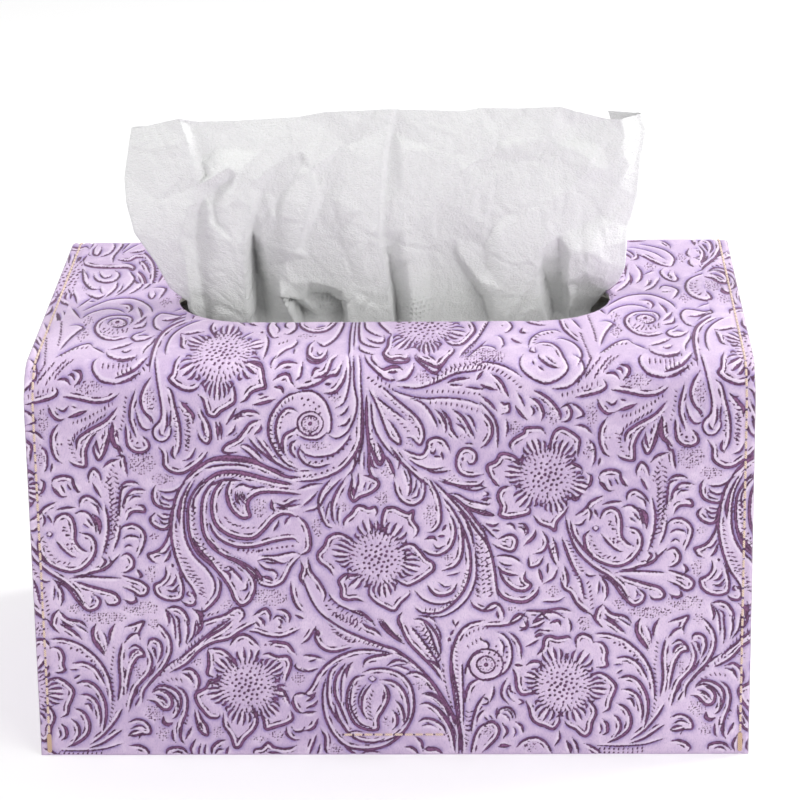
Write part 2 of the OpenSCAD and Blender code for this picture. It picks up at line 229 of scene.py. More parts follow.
def edgeLeather(name, face, cut, lining, inside):        # raw edges and the brushed lining, told apart by place
    shop = Shop(name, 0.75)
    parts = shop.feed(shop.node("ShaderNodeSeparateXYZ"), Vector=shop.place).outputs
    across, back = shop.sum("ABSOLUTE", parts[0]), shop.sum("ABSOLUTE", parts[1])
    withinY = shop.sum("LESS_THAN", back, inside[1])
    withinZ = shop.sum("LESS_THAN", parts[2], inside[2])
    within = shop.sum("MULTIPLY", withinY, withinZ)
    fuzz = shop.noise(1800, 3, 0.7)
    fibre = shop.noise(1.0, 3, 0.6, shop.mapped((260, 2600, 900)))
    outer = shop.mix(fuzz, rgb(*face), shade(face, 0.9))
    raw = shop.mix(fibre, rgb(*cut), shade(cut, 0.82))
    brushed = shop.mix(shop.noise(700, 3, 0.7), rgb(*lining), shade(lining, 0.86))
    atEdge = shop.sum("GREATER_THAN", across, inside[0])
    colour = shop.mix(within, shop.mix(atEdge, outer, raw), brushed)
    return shop.finish(colour, shop.sum("ADD", fuzz, fibre), 0.0001, 0.5)


def plainLeather(name, colour):
    shop = Shop(name, 0.55)
    patch, fine = shop.noise(60, 3, 0.6), shop.noise(1900, 2, 0.7)
    tone = shop.mix(shop.span(patch, 0.3, 0.7), rgb(*colour), shade(colour, 0.88))
    tone = shop.mix(shop.span(fine, 0.5, 0.8, 0, 0.4), tone, shade(colour, 1.07))
    return shop.finish(tone, shop.sum("ADD", shop.cells(1200), shop.noise(500, 3)), 0.00012, 0.6)


def thread(name, colour):        # twisted thread with fine fibres
    shop = Shop(name, 0.62, 0.25)
    twist = shop.bands(900, "DIAGONAL", 1.2)
    fibre = shop.noise(5200, 2, 0.8)
    # darker in the grooves of the twist: painted shade between the plies
    tone = shop.mix(shop.span(twist, 0.2, 0.8), shade(colour, 0.8), rgb(*colour))
    tone = shop.mix(shop.span(fibre, 0.5, 0.8, 0, 0.5), tone, shade(colour, 1.08))
    return shop.finish(tone, shop.sum("ADD", twist, shop.sum("MULTIPLY", fibre, 0.5)), 0.00012, 0.8)


def touchTape(name, colour, size, fuzzy):        # hooks stand in rows, loops lie in a tangle
    shop = Shop(name, 0.7, 0.3)
    if fuzzy:
        pile = shop.sum("ADD", shop.cells(size), shop.noise(size * 0.6, 4, 0.8))
    else:
        pile = shop.sum("SUBTRACT", 1.0, shop.cells(size, random=0.15))
    # darker where the pile is low: painted shade between the hooks and in the loops' tangle
    tone = shop.mix(shop.span(pile, 0.3, 0.9), shade(colour, 0.7), rgb(*colour))
    return shop.finish(tone, pile, 0.0004, 0.9)


def board(name, colour):        # pressed carton board
    shop = Shop(name, 0.68)
    fibre = shop.noise(1.0, 4, 0.7, shop.mapped((300, 900, 900)))
    blotch = shop.noise(35, 3, 0.6)
    tone = shop.mix(shop.span(fibre, 0.35, 0.7), rgb(*colour), shade(colour, 0.93))
    tone = shop.mix(shop.span(blotch, 0.4, 0.8, 0, 0.35), tone, shade(colour, 0.9))
    return shop.finish(tone, fibre, 0.00005, 0.5)


def stackedPly(name, colour):        # crepe paper, ply upon ply
    shop = Shop(name, 0.9, 0.15)
    crepe = shop.noise(1.0, 3, 0.6, shop.mapped((90, 2200, 2200)))
    layers = shop.bands(420, "Z", 0.6)
    # darker between the plies: painted shade in the gaps
    tone = shop.mix(shop.span(layers, 0.1, 0.9), shade(colour, 0.86), rgb(*colour))
    return shop.finish(tone, shop.sum("ADD", crepe, layers), 0.0003, 0.6)


def standingPly(name, colour):        # the same paper, textured in the sheet's own millimetres
    shop = Shop(name, 0.9, 0.15)
    cloth = shop.node("ShaderNodeUVMap", uv_map="cut").outputs[0]
    crepe = shop.noise(1.0, 3, 0.65, shop.mapped((1.3, 2.4, 1), cloth))
    crumpled = shop.noise(0.5, 3, 0.55, cloth)
    pins = shop.span(shop.cells(0.62, cloth, 0.12), 0.42, 0.15)
    dent = shop.sum("MULTIPLY", pins, shop.attribute("pins"))
    height = shop.sum("SUBTRACT", shop.sum("ADD", crepe, crumpled), dent)
    # a touch lighter on the crepe's ridges: painted highlight
    tone = shop.mix(shop.span(crepe, 0.3, 0.7), rgb(*colour), shade(colour, 1.03))
    # darker in the pressed pin dots: painted shade in the dents
    tone = shop.mix(shop.sum("MULTIPLY", dent, 0.25), tone, shade(colour, 0.85))
    return shop.finish(tone, height, 0.0006, 0.9)


toolingLeather = tooledLeather("tooled lilac leather", (1, 1, 1))
# the same leather a little darker for the end panels: painted shade on the box's ends
shadedEndLeather = tooledLeather("tooled end leather, painted shade", (0.97, 0.96, 0.97))
tissueFinish = standingPly("popped tissue", (248, 249, 248))
rawEdge, brushedLining = (176, 158, 176), (196, 190, 186)
dress(["main_panel"],
      edgeLeather("strip edge and lining", (206, 186, 218), rawEdge, brushedLining, (0.1046, 0.0687, 0.1187)))
# the end panels' outer face is a little darker too: painted shade
dress(["left_end_panel", "right_end_panel"],
      edgeLeather("end edge and lining", (200, 178, 210), rawEdge, brushedLining, (0.1046, 0.0600, 0.1100)))
dress(["front_strap", "front_strap_tab", "rear_strap", "rear_strap_tab"],
      plainLeather("strap leather", (186, 164, 200)))
dress(["left_seam_thread", "right_seam_thread", "front_anchor_stitching", "rear_anchor_stitching"],
      thread("cream thread", (250, 222, 204)))
dress(["left_seam_bobbin_thread", "right_seam_bobbin_thread"], thread("bobbin thread", (226, 208, 188)))
dress(["hook_tape_stitching", "loop_tape_stitching"], thread("tape thread", (214, 200, 190)))
dress(["seam_back_tacks"], thread("tan thread", (226, 190, 160)))
dress(["hook_tape"], touchTape("hook tape", (74, 68, 78), 620, False))
dress(["loop_tape"], touchTape("loop tape", (92, 84, 98), 900, True))
dress(["tissue_carton"], board("carton board", (226, 222, 214)))
dress(["tissue_stack"], stackedPly("stacked tissue", (238, 238, 238)))


# one repeat of the pattern in millimetres, u from the middle of the front, s up from its foot

cutLines = [        # width, then points
    # petals of the middle flower
    (1.1, -14,72.5, -13.5,75, -11.5,77, -10,79.2, -8,79.3, -6.5,78.5, -4.5,79, -4,77.5, -4.5,76), (0.7, -4.8,74.5,
    -4.8,72.5, -4.3,71), (1.1, -1,70, -2.5,73, -2.5,76, -1.5,78.5, 1,78.8, 3,77.8, 5,77, 6.5,77.8, 6.3,75, 7.8,72.5,
    7.5,70.5, 6.5,69.5), (1.1, 1.5,65.5, 4,67.3, 6.5,67.2, 8.5,65, 10,63, 12,61.5, 12.3,59.5, 10.5,57.8, 8,56, 5,54.5,
    3,55, 1,56.5), (1, -6.5,55, -6.8,52, -5.5,49.8, -3,48, 0.5,46.5, 2.5,49, 5,51.5, 5.2,53), (1.2, -9,58, -11,57.6,
    -13.5,58, -15.5,56, -14.8,53.5, -14.8,51, -13,50, -10.5,50.2, -8,49.2), (1.1, -10.5,68, -13,70, -16,70.8,
    -18.5,69.5, -19.5,67, -21.5,64.5, -21,62, -18.5,60, -17,57.5), (0.9, 1,88, 1.5,84, 3,81, 6,79.5, 9,81, 10,84.5,
    9.5,88), (0.9, 4.5,82, 5.6,83.5, 5.8,88), (0.6, 7.5,88, 7.2,85, 6,82.5), (1.2, -8,89, -4,87.5, -3.5,85.5,
    -5.5,83.5, -9,82, -10.8,80.8, -12,83, -11.3,86, -11,89), (0.6, -10,83.5, -9.5,87), (0.5, -8,84, -7,87), (0.5,
    -6.5,84.3, -5.5,86.5), (0.9, -17,88, -20,84, -21,80, -20,75.5, -18.5,73, -16.5,72.5), (1, -13,88, -15.5,84,
    -17,80, -17,76, -16,73.5), (0.6, -19,75.5, -18.6,78, -17.5,81), (0.8, -27,84.5, -23,86, -19.5,86.3), (0.8, -26,79,
    -23,81.5, -21,84), (0.8, -25.5,77.5, -21,79, -18.5,83, -14,88), (0.9, 11,88, 13.5,83, 14.5,78, 14.3,74, 12.5,71.5,
    10,71), (1, 17,77, 18.5,73, 18.5,69.5, 17,66, 14,64, 11,64.3, 8.5,66), (1, 20,74, 20.8,69, 20.5,64, 18.5,60.5,
    14.5,59), (1, 15,82, 18,78, 20.5,73, 22.5,67, 23,60, 21.5,54, 18.5,49.5, 14,46, 9,45.8, 6,48), (1.1, 10,55, 12,52,
    14.5,51.2, 17.5,52.2, 19,55), (0.8, 6.5,53, 8.5,50.5, 11.5,48.8, 15.5,48.7, 18.5,50), (1.1, 9.8,69, 12,69.6,
    13.2,68.6), (1, 13.5,69.8, 15.8,70), (0.7, 12,67.5, 13.5,66, 15.5,67), (0.9, 14.8,71.5, 16,73.5), (0.6, 13.5,55.5,
    15.5,54, 17.5,54.5), (0.6, 16,57.5, 18.5,58, 20,58.7), (0.9, 12,87.5, 17,82, 22,76, 26,70), (1.1, 15.5,83.5,
    20,80.5, 24,75.5, 28,69.5), (0.8, 14,88, 19,85.5, 24,84, 28,85), (0.8, 20,78, 23,72, 24,66), (0.9, -24.5,63.5,
    -23.5,59, -21,55.5, -19.5,52, -20,49.5), (0.8, -26,57, -24.5,52, -22,47, -18,43, -13,40), (1.1, -27,76.5,
    -24.5,73.5, -23.5,69, -24,65.5, -27,64),
    # lobes and leaves above the middle flower
    (0.8, -27,114, -22,114.2, -18.5,111.5, -16.8,107, -17,102.5, -18.5,101.5), (0.8, -27,101.5, -24,100, -20.5,100,
    -18,102), (0.8, -26.5,98, -24.5,95.5, -21,94.5, -16,95.5, -12.5,99, -11,102), (0.9, -25.5,98.5, -26.5,95.5,
    -24.5,92.5, -21,91.3, -17,92.5), (0.6, -27,90.3, -22,90.3), (1, -27,87, -21,87.5, -15,90, -11,94, -8.5,99, -8,105,
    -7.8,115), (0.9, -12,130, -11.3,122, -11.5,116, -13,111, -15.5,109.3), (1, -10.6,130, -10.3,122, -10,116,
    -9.2,110, -11.5,103, -15,100.2, -18,101.3), (0.9, -9,130, -8.3,122, -8,114, -7.5,106, -8,98, -10,92, -13,88),
    (0.7, -15,107, -13,107.8, -11.5,110), (0.8, -15,103.8, -12.5,104.5, -11,107), (0.9, -22,118.2, -19,119, -17.5,121,
    -16.5,126, -15,130), (0.9, -22.5,118.5, -21.5,121.5, -20,122), (1.2, -24.5,130, -23.5,126, -21,124.5, -18.5,127,
    -18,130), (0.9, -27,115, -24,115.3, -20.5,116.5, -17.5,118.8, -15,119.5, -14,122.5, -13.5,125), (0.8, -18.5,116.3,
    -16.5,116.5), (1, -19,113.5, -15.5,114, -13,117.5, -12.3,122), (0.8, -27,117.5, -25.5,119, -25,125), (1, -7.5,130,
    -6.5,125, -4,120.8, -1,117.8, 1.5,117.5, 1,118.8), (0.9, -5.5,130, -5,125.5, -3,122.3), (1.2, -3,122, -1.5,121.3,
    0.5,122.3, 2.5,122.3, 4,121), (0.8, -0.5,120.2, 2.5,120.4), (1.3, -2,130, -1.5,127, 0,125, 3,124.5, 5.5,125.5,
    5.5,130), (0.8, 2,117, 5,118, 6.8,121, 7,124), (1.2, 7,130, 7.5,126.5, 10,122.5, 13,119.8, 15,122.5, 16.5,126,
    17,130), (1.1, 11,130, 13.2,125.5), (0.6, 2,115.5, 8,115, 13,116.5, 19,119.5, 24,120.5, 27,121), (0.6, 0,114.8,
    5,113, 10,112, 16,112.2, 22,111.5, 27,109.8), (0.9, 16,116.3, 19,117.6, 23,118), (0.7, 17,116, 21,115.8), (0.9,
    25,117.5, 27,120.5), (0.7, 22,115.3, 27,114.5), (0.9, -6,115, -4,111, -2.5,107, -0.8,102, 0.5,99.8, 2.8,98.2,
    3,100, 1,104, -0.5,106), (0.9, 4.5,100.5, 6.5,100, 8.5,98, 9.8,100, 9.5,103.5, 7.5,107, 3,111, -2,115.5), (0.7,
    -4.5,113, 0,109.5, 5,105.5), (0.8, 6,112, 9,111, 11.5,108.5, 13.3,105, 13.8,102.8), (1, 13,109, 15,107, 16.2,104,
    16,101.5), (1, 14.5,109.3, 17,106, 18,102.5, 20,99.5), (1.1, 18,109, 21,106.5, 23.5,102, 24.5,99.8), (0.8, 21,108,
    23.5,106, 25,102), (0.8, 19,104.5, 21,103.5, 22,101.5), (0.9, 3.5,97, 6,95.7, 9,95, 10.5,97, 11,99.3, 13.5,100.3,
    16,99, 17.5,95.5), (0.8, 11.5,96.5, 12.5,95.3, 13.2,97), (0.8, 12.5,94.5, 14.8,94.5), (0.9, 14.8,96, 15.3,93.5),
    (1, 27,89, 23,88.3, 20,89.5, 19,92.5, 20,96, 22.5,97, 24.7,95.5, 24.7,93, 23,92, 22,93.5), (0.7, 20.8,93,
    21,94.3), (0.6, 21.5,98.5, 24,98.3), (1.1, -6,100, -5,96, -4,93, -2.8,92, -1.8,94, -2.5,96.5, -4,99.5), (1.2,
    -2,95.5, 0,92.5, 1.5,88), (0.9, 0,98, 3,93, 8,88, 12,85), (1.2, -6.5,113, -6.5,105, -6,97, -6,90, -3.5,86.5),
    (0.8, 5,94, 8,91.8, 12,90.5, 16,91.3), (0.9, 10,90.5, 13,89.6, 17.5,90.2), (0.8, -5.3,112, -4.6,104, -2,98.5,
    2,93.5),
    # the round bud at the foot
    (1, -9,27, -6,28, -2,28, 2,26.5, 5,23, 6,18, 5.5,13, 3,8, -2,3.5, -8,2, -14,3, -18,7, -20.5,13, -21,20, -20,25),
    (0.9, -27,19.5, -24.5,22, -22,26.5, -19,30, -14,33, -8,34.2, 0,33), (0.9, -16,30, -18.5,27.5, -19.5,23, -19.3,17,
    -17,12, -15,9.5), (1.1, -14,30, -17,25, -17.3,20, -15.8,15.5, -13.5,9.5), (1.1, -8.5,26, -11.5,25, -13.5,21,
    -13.8,16, -12,11, -9,8.8, -5,8.5, -4.7,12, -3,15, -1.3,19, -2,22, -3.5,23.5), (1, -4,24.5, 0,24, 3,21, 4.3,16.5,
    4,12, 2,9), (1, 0.5,18, 2.2,16, 3,13, 2.8,10.5), (1.1, -0.5,15, 1,12.5, 0.8,10, -0.5,8.5), (0.9, -13.5,6.5,
    -10,4.8, -6,4.3, -3,5.5), (0.6, -14,7.4, -11.5,8, -9,7.6), (0.9, -6.5,23.3, -9,19.5, -9.5,15, -8,11.5), (0.6,
    -7.8,23.5, -10.1,19.5, -10.4,15), (0.5, -6.2,26, -7.3,25, -6.2,23.9, -5.1,24.9, -6.2,26), (0.9, -9,28.5, -8,31,
    -5,32, -2,32.2), (1, -2,29, 1,30.8, 5,29.8), (0.5, -1.5,28.5, 1,29.2, 4.5,29.6), (1, 3,25.8, 6,27, 9,25.8,
    12,22.5, 14.5,17.5, 16.5,12), (1, 0.5,33.2, 4,31.5, 8,28, 12,23, 15.5,17, 18.5,11, 19.3,6, 19,0), (1, -20,45,
    -15,41, -9,38, -3,35.5, 1,34, 6,30, 11,24.5, 14.5,19), (1, 8.5,20, 10.5,20.3, 13,19, 16.5,14.5, 18.3,9), (1.1,
    7.5,16.5, 10,17, 13,15, 16,10.5, 17.5,6, 18,1), (1, 7,10.8, 9,12, 12,11.5, 14.5,9.5, 15.5,7), (0.6, 8,9.6,
    10.5,10.2, 12.5,9), (1.1, 6,6.5, 8,4.5, 8.5,1.5), (1, 3,3, 5.5,2.5, 7.5,0), (1.2, 9.5,3, 13,1.8, 14.5,0), (1.1,
    -12,30.3, -13.5,28, -13.8,25.3), (1.1, -22.5,41, -22.7,37.5, -20.5,34.5, -17,33.6, -12,35), (0.9, -27,36,
    -24.5,38, -22.3,42), (0.8, -27,32.5, -23,32.2, -20,31), (0.7, -25,30.3, -22.5,31.2), (0.8, -27,28.5, -25,27.3,
    -22,28.3), (1, -26,17.5, -24,18.8, -23,20.5), (1, -26,15.5, -23.5,16.5, -22.5,18), (0.9, -27,14, -23,14.3), (1.1,
    -27,8, -24,9, -22.3,12.5), (1, -22,9, -20.5,6, -20.5,2, -19,0), (0.9, -25.5,0, -24,4, -23,7), (0.6, -23,0, -22,4),
    # stems and long leaves
    (1, 27,43.5, 22,42, 19,38.5, 17.3,33, 17,27, 17.8,20, 18.8,13, 20,6, 20,0), (0.7, 20.3,30.5, 20.4,25, 20.6,18,
    20.5,10), (0.8, 27,33.5, 24,32.5, 21.8,29.5, 20.8,25), (1, 25.5,25, 22.5,23, 21.3,19.5, 21,16.5), (0.9, 27,20,
    24.5,16, 23,10, 22.8,7), (0.8, 27,15, 25,13, 24.4,10.5), (0.9, 27,10.8, 24.5,8, 23,3, 22.8,0), (1.2, 2,44, 3,40,
    5,36, 8,32.5, 12,28, 14.5,24), (1, 6,44, 9,43.5, 12,40.5, 13.8,36, 14,32), (0.7, 12,42.8, 13.6,40, 14.5,36.5),
    (0.7, 5,42, 8.5,37.5, 12,32, 14.3,27), (1.1, -4.5,44, -2.5,41, 0,38.5, 3.5,35.8), (0.8, -3,44, -1.5,41.5, 1,38.4),
    (1, -9.5,43, -7,41.2, -5,40.3, -3,38), (0.9, 9,31, 12,30, 14,27.5), (1.4, 16.3,36.8, 16.8,38), (0.8, 18,40.5,
    16.8,38.6),
    # lower right
    (0.8, 26,24.6, 29.5,25, 33,27, 34.8,30.5, 34.8,35, 33,38.5, 30,40), (0.8, 26,37.5, 28,36, 28,34), (0.7, 31,38,
    32.5,35.5, 32.3,32), (1.2, 42,32, 44,34.5, 44.5,37.5, 46,38.3, 48.5,37.7, 51.5,38.2, 52.5,37), (1, 53.8,34.5,
    53.7,37.5, 55.5,39, 58,38, 58.8,36), (1.1, 59,36.5, 61.5,36, 62.8,33.5, 62.5,31, 63,29, 61.5,28.3, 59.5,28.5),
    (1.1, 58,26.3, 61,26.5, 63.5,25, 65.5,22.5, 65,20, 64,17.5, 63.5,15, 61.5,13.8), (1.1, 57,18, 59,16, 59.7,13.5,
    58.5,10.5, 58,7.5, 56.5,6.2, 55,7, 53.5,8.5, 51.5,9.5, 50,11.5), (1.2, 49,13, 48.7,10.5, 47,8.5, 44.5,9.5,
    42,10.5, 40.5,12.5, 40,15, 38.8,18), (1.2, 43,20, 40.5,20, 37.8,19.7, 36.3,22, 36,25.5, 35,28.5), (1, 35.5,29.3,
    38,29), (1.1, 39,29, 41,30.3, 43,30, 44.5,28.3), (0.9, 58.5,39, 63,39, 68,37, 72.5,33, 75.5,28, 76.8,22, 76.8,18),
    (0.9, 65,31.3, 69,31.5, 72.5,29, 75,24), (0.6, 64.5,29.2, 67.5,29.4), (0.6, 65.5,26.3, 67.5,27.6), (1.2, 66,24.8,
    69.5,25.5, 72.5,23.5, 74.7,19, 75,14, 74,9), (1, 67,21.3, 70,21, 72.5,18.5, 73.5,14, 73,10.5), (0.9, 68.5,18.2,
    70.2,18, 71,15.5), (1.2, 65.5,17, 68.5,15.3, 70,12, 69.5,8.5, 67,6, 63,4), (1, 64.5,13.5, 66.5,11.5, 67,8.5,
    65,5.5), (1.3, 61.5,12, 63,10, 63,7.5, 61.5,6.5), (0.9, 70,5, 74,8, 78,13, 80,17), (0.9, 69.5,3.8, 74,5.5, 80,10),
    (0.6, 60,3.2, 67,3, 74,3.5, 80,5.5), (0.9, 56,4, 59,2.5, 62,0), (0.9, 52.5,6, 54,3.5, 54.7,0), (0.7, 50.8,5, 52,2,
    52.3,0), (0.8, 48.8,8, 49,5.5, 47.5,3), (0.9, 33.5,25, 32,22, 32,19, 34,16.5), (0.7, 34.3,23.5, 34.5,21, 36,20),
    (0.8, 29.5,23, 29.5,20, 28.3,17), (0.8, 30.5,12.5, 31.5,15, 34,15.5, 35.5,14, 36,12), (0.6, 31.5,13.8, 33.5,12.8,
    34.3,11), (1, 32,10.5, 33.5,8, 32.3,5.5), (0.9, 35.8,11, 37.8,9.5, 38.2,7), (0.6, 35.3,9.5, 36,7.5, 35.3,6), (1.1,
    26,9.5, 29,11, 31,9, 30.5,6, 28,3, 26,1), (1.2, 31,3.3, 33.5,3.5), (0.9, 36,2.5, 38.5,5, 42,5.8, 45,4, 47,0),
    (0.9, 26,41.5, 33,41.8, 37,43.5, 39,46), (0.9, 33.5,40, 36,38, 37.5,35, 37.7,31), (0.9, 39.5,44, 39.3,41, 37,40),
    (0.8, 39,35, 41,36, 43,37.3), (1.1, 41.5,38, 43,39, 44,39.2), (0.9, 40,41, 42.5,41.5, 44.5,43), (0.6, 43,40.2,
    47,40), (1.1, 46,42.5, 48.5,43.2, 49.3,41.5), (0.8, 51.5,44, 52.3,41.5, 52,39.5), (1, 58,45.5, 60,42.5, 61.5,41),
    (1.1, 61.5,44, 65,42, 68.5,38.8), (0.6, 66,44, 69,42, 70,41), (1.3, 72.5,44, 71.3,41.5, 72,38, 74,35, 74.8,33.5),
    (0.6, 74,42, 75.5,39, 75.7,36), (1.1, 78,44, 76.5,41, 76.3,37.5), (1, 80,38, 79,32, 79.3,25, 78.5,19),
    # right flower
    (1.3, 35,85.5, 32,84.5, 31,82, 32,79, 31.5,76.5, 33.5,75.5, 37,76, 40,77, 40.3,79.5), (1.1, 41,76.5, 43,73.8,
    46,72.5, 47.5,71.5, 48,74, 50,76.5, 51.5,79), (1.2, 51.5,82, 53.5,81, 55,82.5), (1.1, 35.3,95.8, 34.5,98, 36,100,
    38.5,101.5, 39,103, 41,103.2, 43.5,103, 45,101), (1.1, 46,95.5, 46.3,99, 47.5,102, 49.5,103, 52.5,101.5,
    54.5,99.5, 54.3,97, 54,94), (1.3, 38,92, 35.5,94.5, 32,95.2, 30.5,93, 28,91.5, 28.5,89, 30,86.5), (1.1, 50.5,91.5,
    52.5,92.2, 55,90.8, 55.5,89.3), (1.1, 56.5,89.5, 58,88, 57.5,85.5, 56,84), (0.9, 53,104, 56,103.5, 58.5,101),
    (0.8, 56.8,100, 58.8,97.5, 59,93.5, 58,91), (0.8, 60.5,94, 60,91.5), (1.1, 51.8,75, 53,70, 56,65.5, 60,62,
    65,60.3, 69,61.5, 72,65, 72.8,68.5, 71.5,71.5, 68,72.7), (1, 50.5,76, 51.5,71, 54,65, 58.5,60.3, 63,57.3, 66.5,54,
    69,50), (1.2, 57.5,71.5, 56,69.5, 56.5,66, 58.5,64), (1.1, 60.5,75, 61.5,77.5, 64,78.5, 66,77, 66.8,73.5, 66.8,70,
    68.5,67.5, 71,66.3), (0.9, 60.8,70.5, 63,67.5, 65.5,65.3, 67.5,64.8), (0.5, 59.3,73.1, 58.4,72.2, 59.3,71.3,
    60.2,72.2, 59.3,73.1), (0.9, 61,79.5, 64,80.3, 67,80.5), (0.8, 66.5,78.5, 69,79.3, 71,78.3, 72.5,75.5, 73,72),
    (1.7, 71.8,78.6, 73.7,76, 74,72), (0.9, 68,80.3, 68.5,83, 70.5,84, 73,82.5, 75,79.5), (0.6, 69,75.5, 71,74), (0.9,
    53,76, 56,78, 58,80.5, 61.5,82.3), (0.9, 58.8,78, 59.4,76.8), (0.8, 53,73.3, 55,73.3, 56.5,75), (1, 60,88,
    61,85.5, 63,83.8, 64.5,83.9), (0.8, 66.5,88, 67.5,86, 68.4,85.2), (1, 72,88, 73.5,85, 74.5,83.5), (0.8, 75.5,82,
    76.5,76, 76,70, 74.5,65), (0.8, 80,66, 76,62, 71,59.7, 66,59), (0.7, 65,58.3, 70,58.8, 80,58.3), (1.1, 60,58,
    64,55.5, 66.5,52, 68.5,49.5, 70.5,48, 73,49, 73.7,51.5, 71.5,53.5), (1.1, 66,57.5, 70,56, 75,54.5, 78,53.5,
    79.5,51.5, 78.5,50, 76,50, 75,51.5), (0.6, 71,53, 71.6,51.5, 71,50.3), (1, 60.5,57.5, 62.5,54.5, 62.8,51.5,
    62,49.5), (1, 61.5,48.5, 59.8,46.5, 59.3,43.5, 60,42), (1, 61.5,48.3, 64,45.5, 68,44.5, 70,42.3), (0.9, 62,45.5,
    63.5,43.8, 66,42.8), (1, 49,57, 50,53.5, 52,52, 54,48.5, 58,45.3), (0.7, 54.5,58, 55.5,54, 56,50), (0.7, 60.3,56,
    60.4,54, 60,51.5), (0.7, 56,58.5, 57.5,57.2, 59.3,57.5), (0.9, 45,69, 45.8,66, 47,62.5, 48.3,60), (0.9, 46.8,69.5,
    48,66, 48.6,62), (0.9, 43.8,71.5, 45.5,68, 44,65, 41,64.2), (1.3, 42,72, 41.3,69.5, 38.3,66.7), (0.9, 40,64,
    39.8,61.5, 40.5,60, 43,61, 44.3,63.5), (1.2, 42.7,60, 43.5,57, 43.8,55.3), (0.8, 44,54.8, 47,56.5, 48.5,60), (0.7,
    45.5,61.5, 45.3,58), (1, 50,61, 51.3,57, 51,53.3), (1.4, 30.5,54, 32,51, 35,49.5, 39,49.3, 42,51.5, 43,54), (1.2,
    31,59.5, 33,55.5, 36,53, 39,52.8, 40.5,54.5, 38.7,56.5, 39,59), (1.1, 30.5,61, 32,58.8, 34.5,57.8, 37,57.5), (0.8,
    30,63.5, 33,63.8, 36,63, 38.3,61), (0.7, 31,62, 33,60.8, 35.5,60.8), (1, 29,67.5, 32,65.8, 35,65, 36.3,66.8,
    36.3,69, 34.5,70.3, 31,69), (0.5, 32,68.3, 33.5,68), (0.8, 26,74, 29,70.5, 31,68.8), (0.8, 33,73.5, 35,73.5,
    36.3,71.5), (0.9, 36.5,73.8, 38.8,73.3, 39.7,71, 38.5,69.8), (1, 27,74, 29.5,73, 31.5,74), (0.8, 29,71.8,
    31.5,71.5), (1, 26,78, 30,76.3), (1.2, 29,88, 30.5,86, 31.3,85.3), (1, 26,81, 29,81.6), (1, 38,46.5, 44,46.3,
    49,47, 52.8,46), (0.7, 43,49.3, 48,49.3, 50.5,50.8), (0.9, 26,46, 29,48.5, 31,48.5, 32.5,46, 32.5,43.5), (1,
    30.5,46.3, 31,44), (1, 34,42.5, 37,45.3, 40,44), (0.8, 41,43, 44,45.5, 47.5,45.8, 50.5,44),
    # upper right scrolls
    (0.9, 38.5,130, 37.5,125, 38,121, 41,117.8, 45,116.2, 49,117.8, 51.3,121, 51,124, 50,127, 49.5,130), (0.9,
    52.5,130, 55,126, 56,121, 54.5,118, 51,115, 46,114.6), (1.1, 43,130, 43,127, 45,123.5, 47.5,121.8, 49,121.5),
    (0.7, 45,128, 46.5,125, 48,123), (0.7, 41,125, 41.8,122.8), (0.6, 42.8,122, 44.3,120.5), (0.8, 26,124.8, 31,123.5,
    35,121, 38,118.3), (1.1, 29,119.7, 32,117, 33.7,113.5, 34.5,112), (0.9, 26,116, 29,114.8, 31,114.3), (1, 26,113,
    29,110.5, 31,108), (0.9, 31,111.5, 33,110.3, 34.3,110.3, 34.3,108, 32,107.3), (1.1, 36,110, 37.5,107.5,
    39.5,105.5), (0.7, 36.5,114, 38,111.5, 39,109), (1.1, 40,112.5, 43,110.5, 44.2,107.5, 43.5,105), (0.8, 40.5,110,
    41.5,108, 40.8,106.8), (1.1, 41,114.3, 44,113, 47,110.5, 49,107.5, 49,105), (1, 49,109, 51,110, 52.2,108,
    51.5,105.5, 49,104.8), (0.8, 51,110.8, 54,109.5, 55.7,107, 53,105.7), (1, 53,112, 57,112.8, 61,114, 62.3,115.5,
    61.5,117.3), (0.9, 62,119.3, 64.5,119.5, 66,117.5), (0.9, 65,121, 66.5,121, 67,119), (1.1, 66,123, 68.5,122,
    68.8,119.5, 67,117.3), (1, 73,130, 71.8,126, 72.3,122, 74.5,119, 78,118, 80,118.3), (1, 63.5,114.3, 68,113.5,
    73,112.5, 77,113, 80,115), (1.2, 59.5,112, 60.5,109, 62.5,107.3, 64.5,107.8), (1.4, 65,108, 68,109, 71,110.3),
    (0.8, 62,111, 64,110, 65.5,111.5), (0.5, 66,111.5, 68,111), (1.1, 79.5,111, 76,107, 71,104, 68,101.5, 67.5,98),
    (1, 62.5,106.3, 60.5,103, 60.3,99, 61.5,95.5, 63.5,94), (1.1, 65,95, 67,93.5, 70,93, 70.3,95, 70.3,98, 71.8,101.5,
    73.5,103.5), (1, 73,100.5, 72.5,98, 74,95, 76,98, 77,102, 77,105.5), (0.8, 75.3,103, 75,101), (1.2, 78,107,
    77.8,101, 80,97.5), (0.9, 71,88, 71,90.5, 72.3,92.5, 74,91, 74.8,88), (1, 75,92.5, 77,94.5, 80,95.5), (1, 60,88,
    61,89.5, 63.5,90.2, 66,89.5, 67,87), (0.8, 33.5,106, 34,103, 33.5,100.5), (1.1, 26.5,108, 29,105, 29.5,101.5,
    28,98.5, 26,97), (0.9, 26,111, 29.5,107, 31,103, 31,97),
    # lower left leaves
    (1, -48,35.5, -46.5,38, -44,39.2, -41.5,38, -39,35), (0.8, -39.2,34.5, -40.5,31), (1.2, -54.5,35, -54.3,30,
    -54.8,26.5, -52.5,25.3), (1, -54.5,34.6, -51,34.5, -48.5,33, -46.5,30, -46,27.5), (1.2, -50.5,24, -54,24.5,
    -55.5,22, -58.5,20, -58,17, -56,14, -54.5,12.5, -52,12.5, -51.5,14), (1.1, -50.5,14, -50.5,10, -48.5,6.5, -47.5,3,
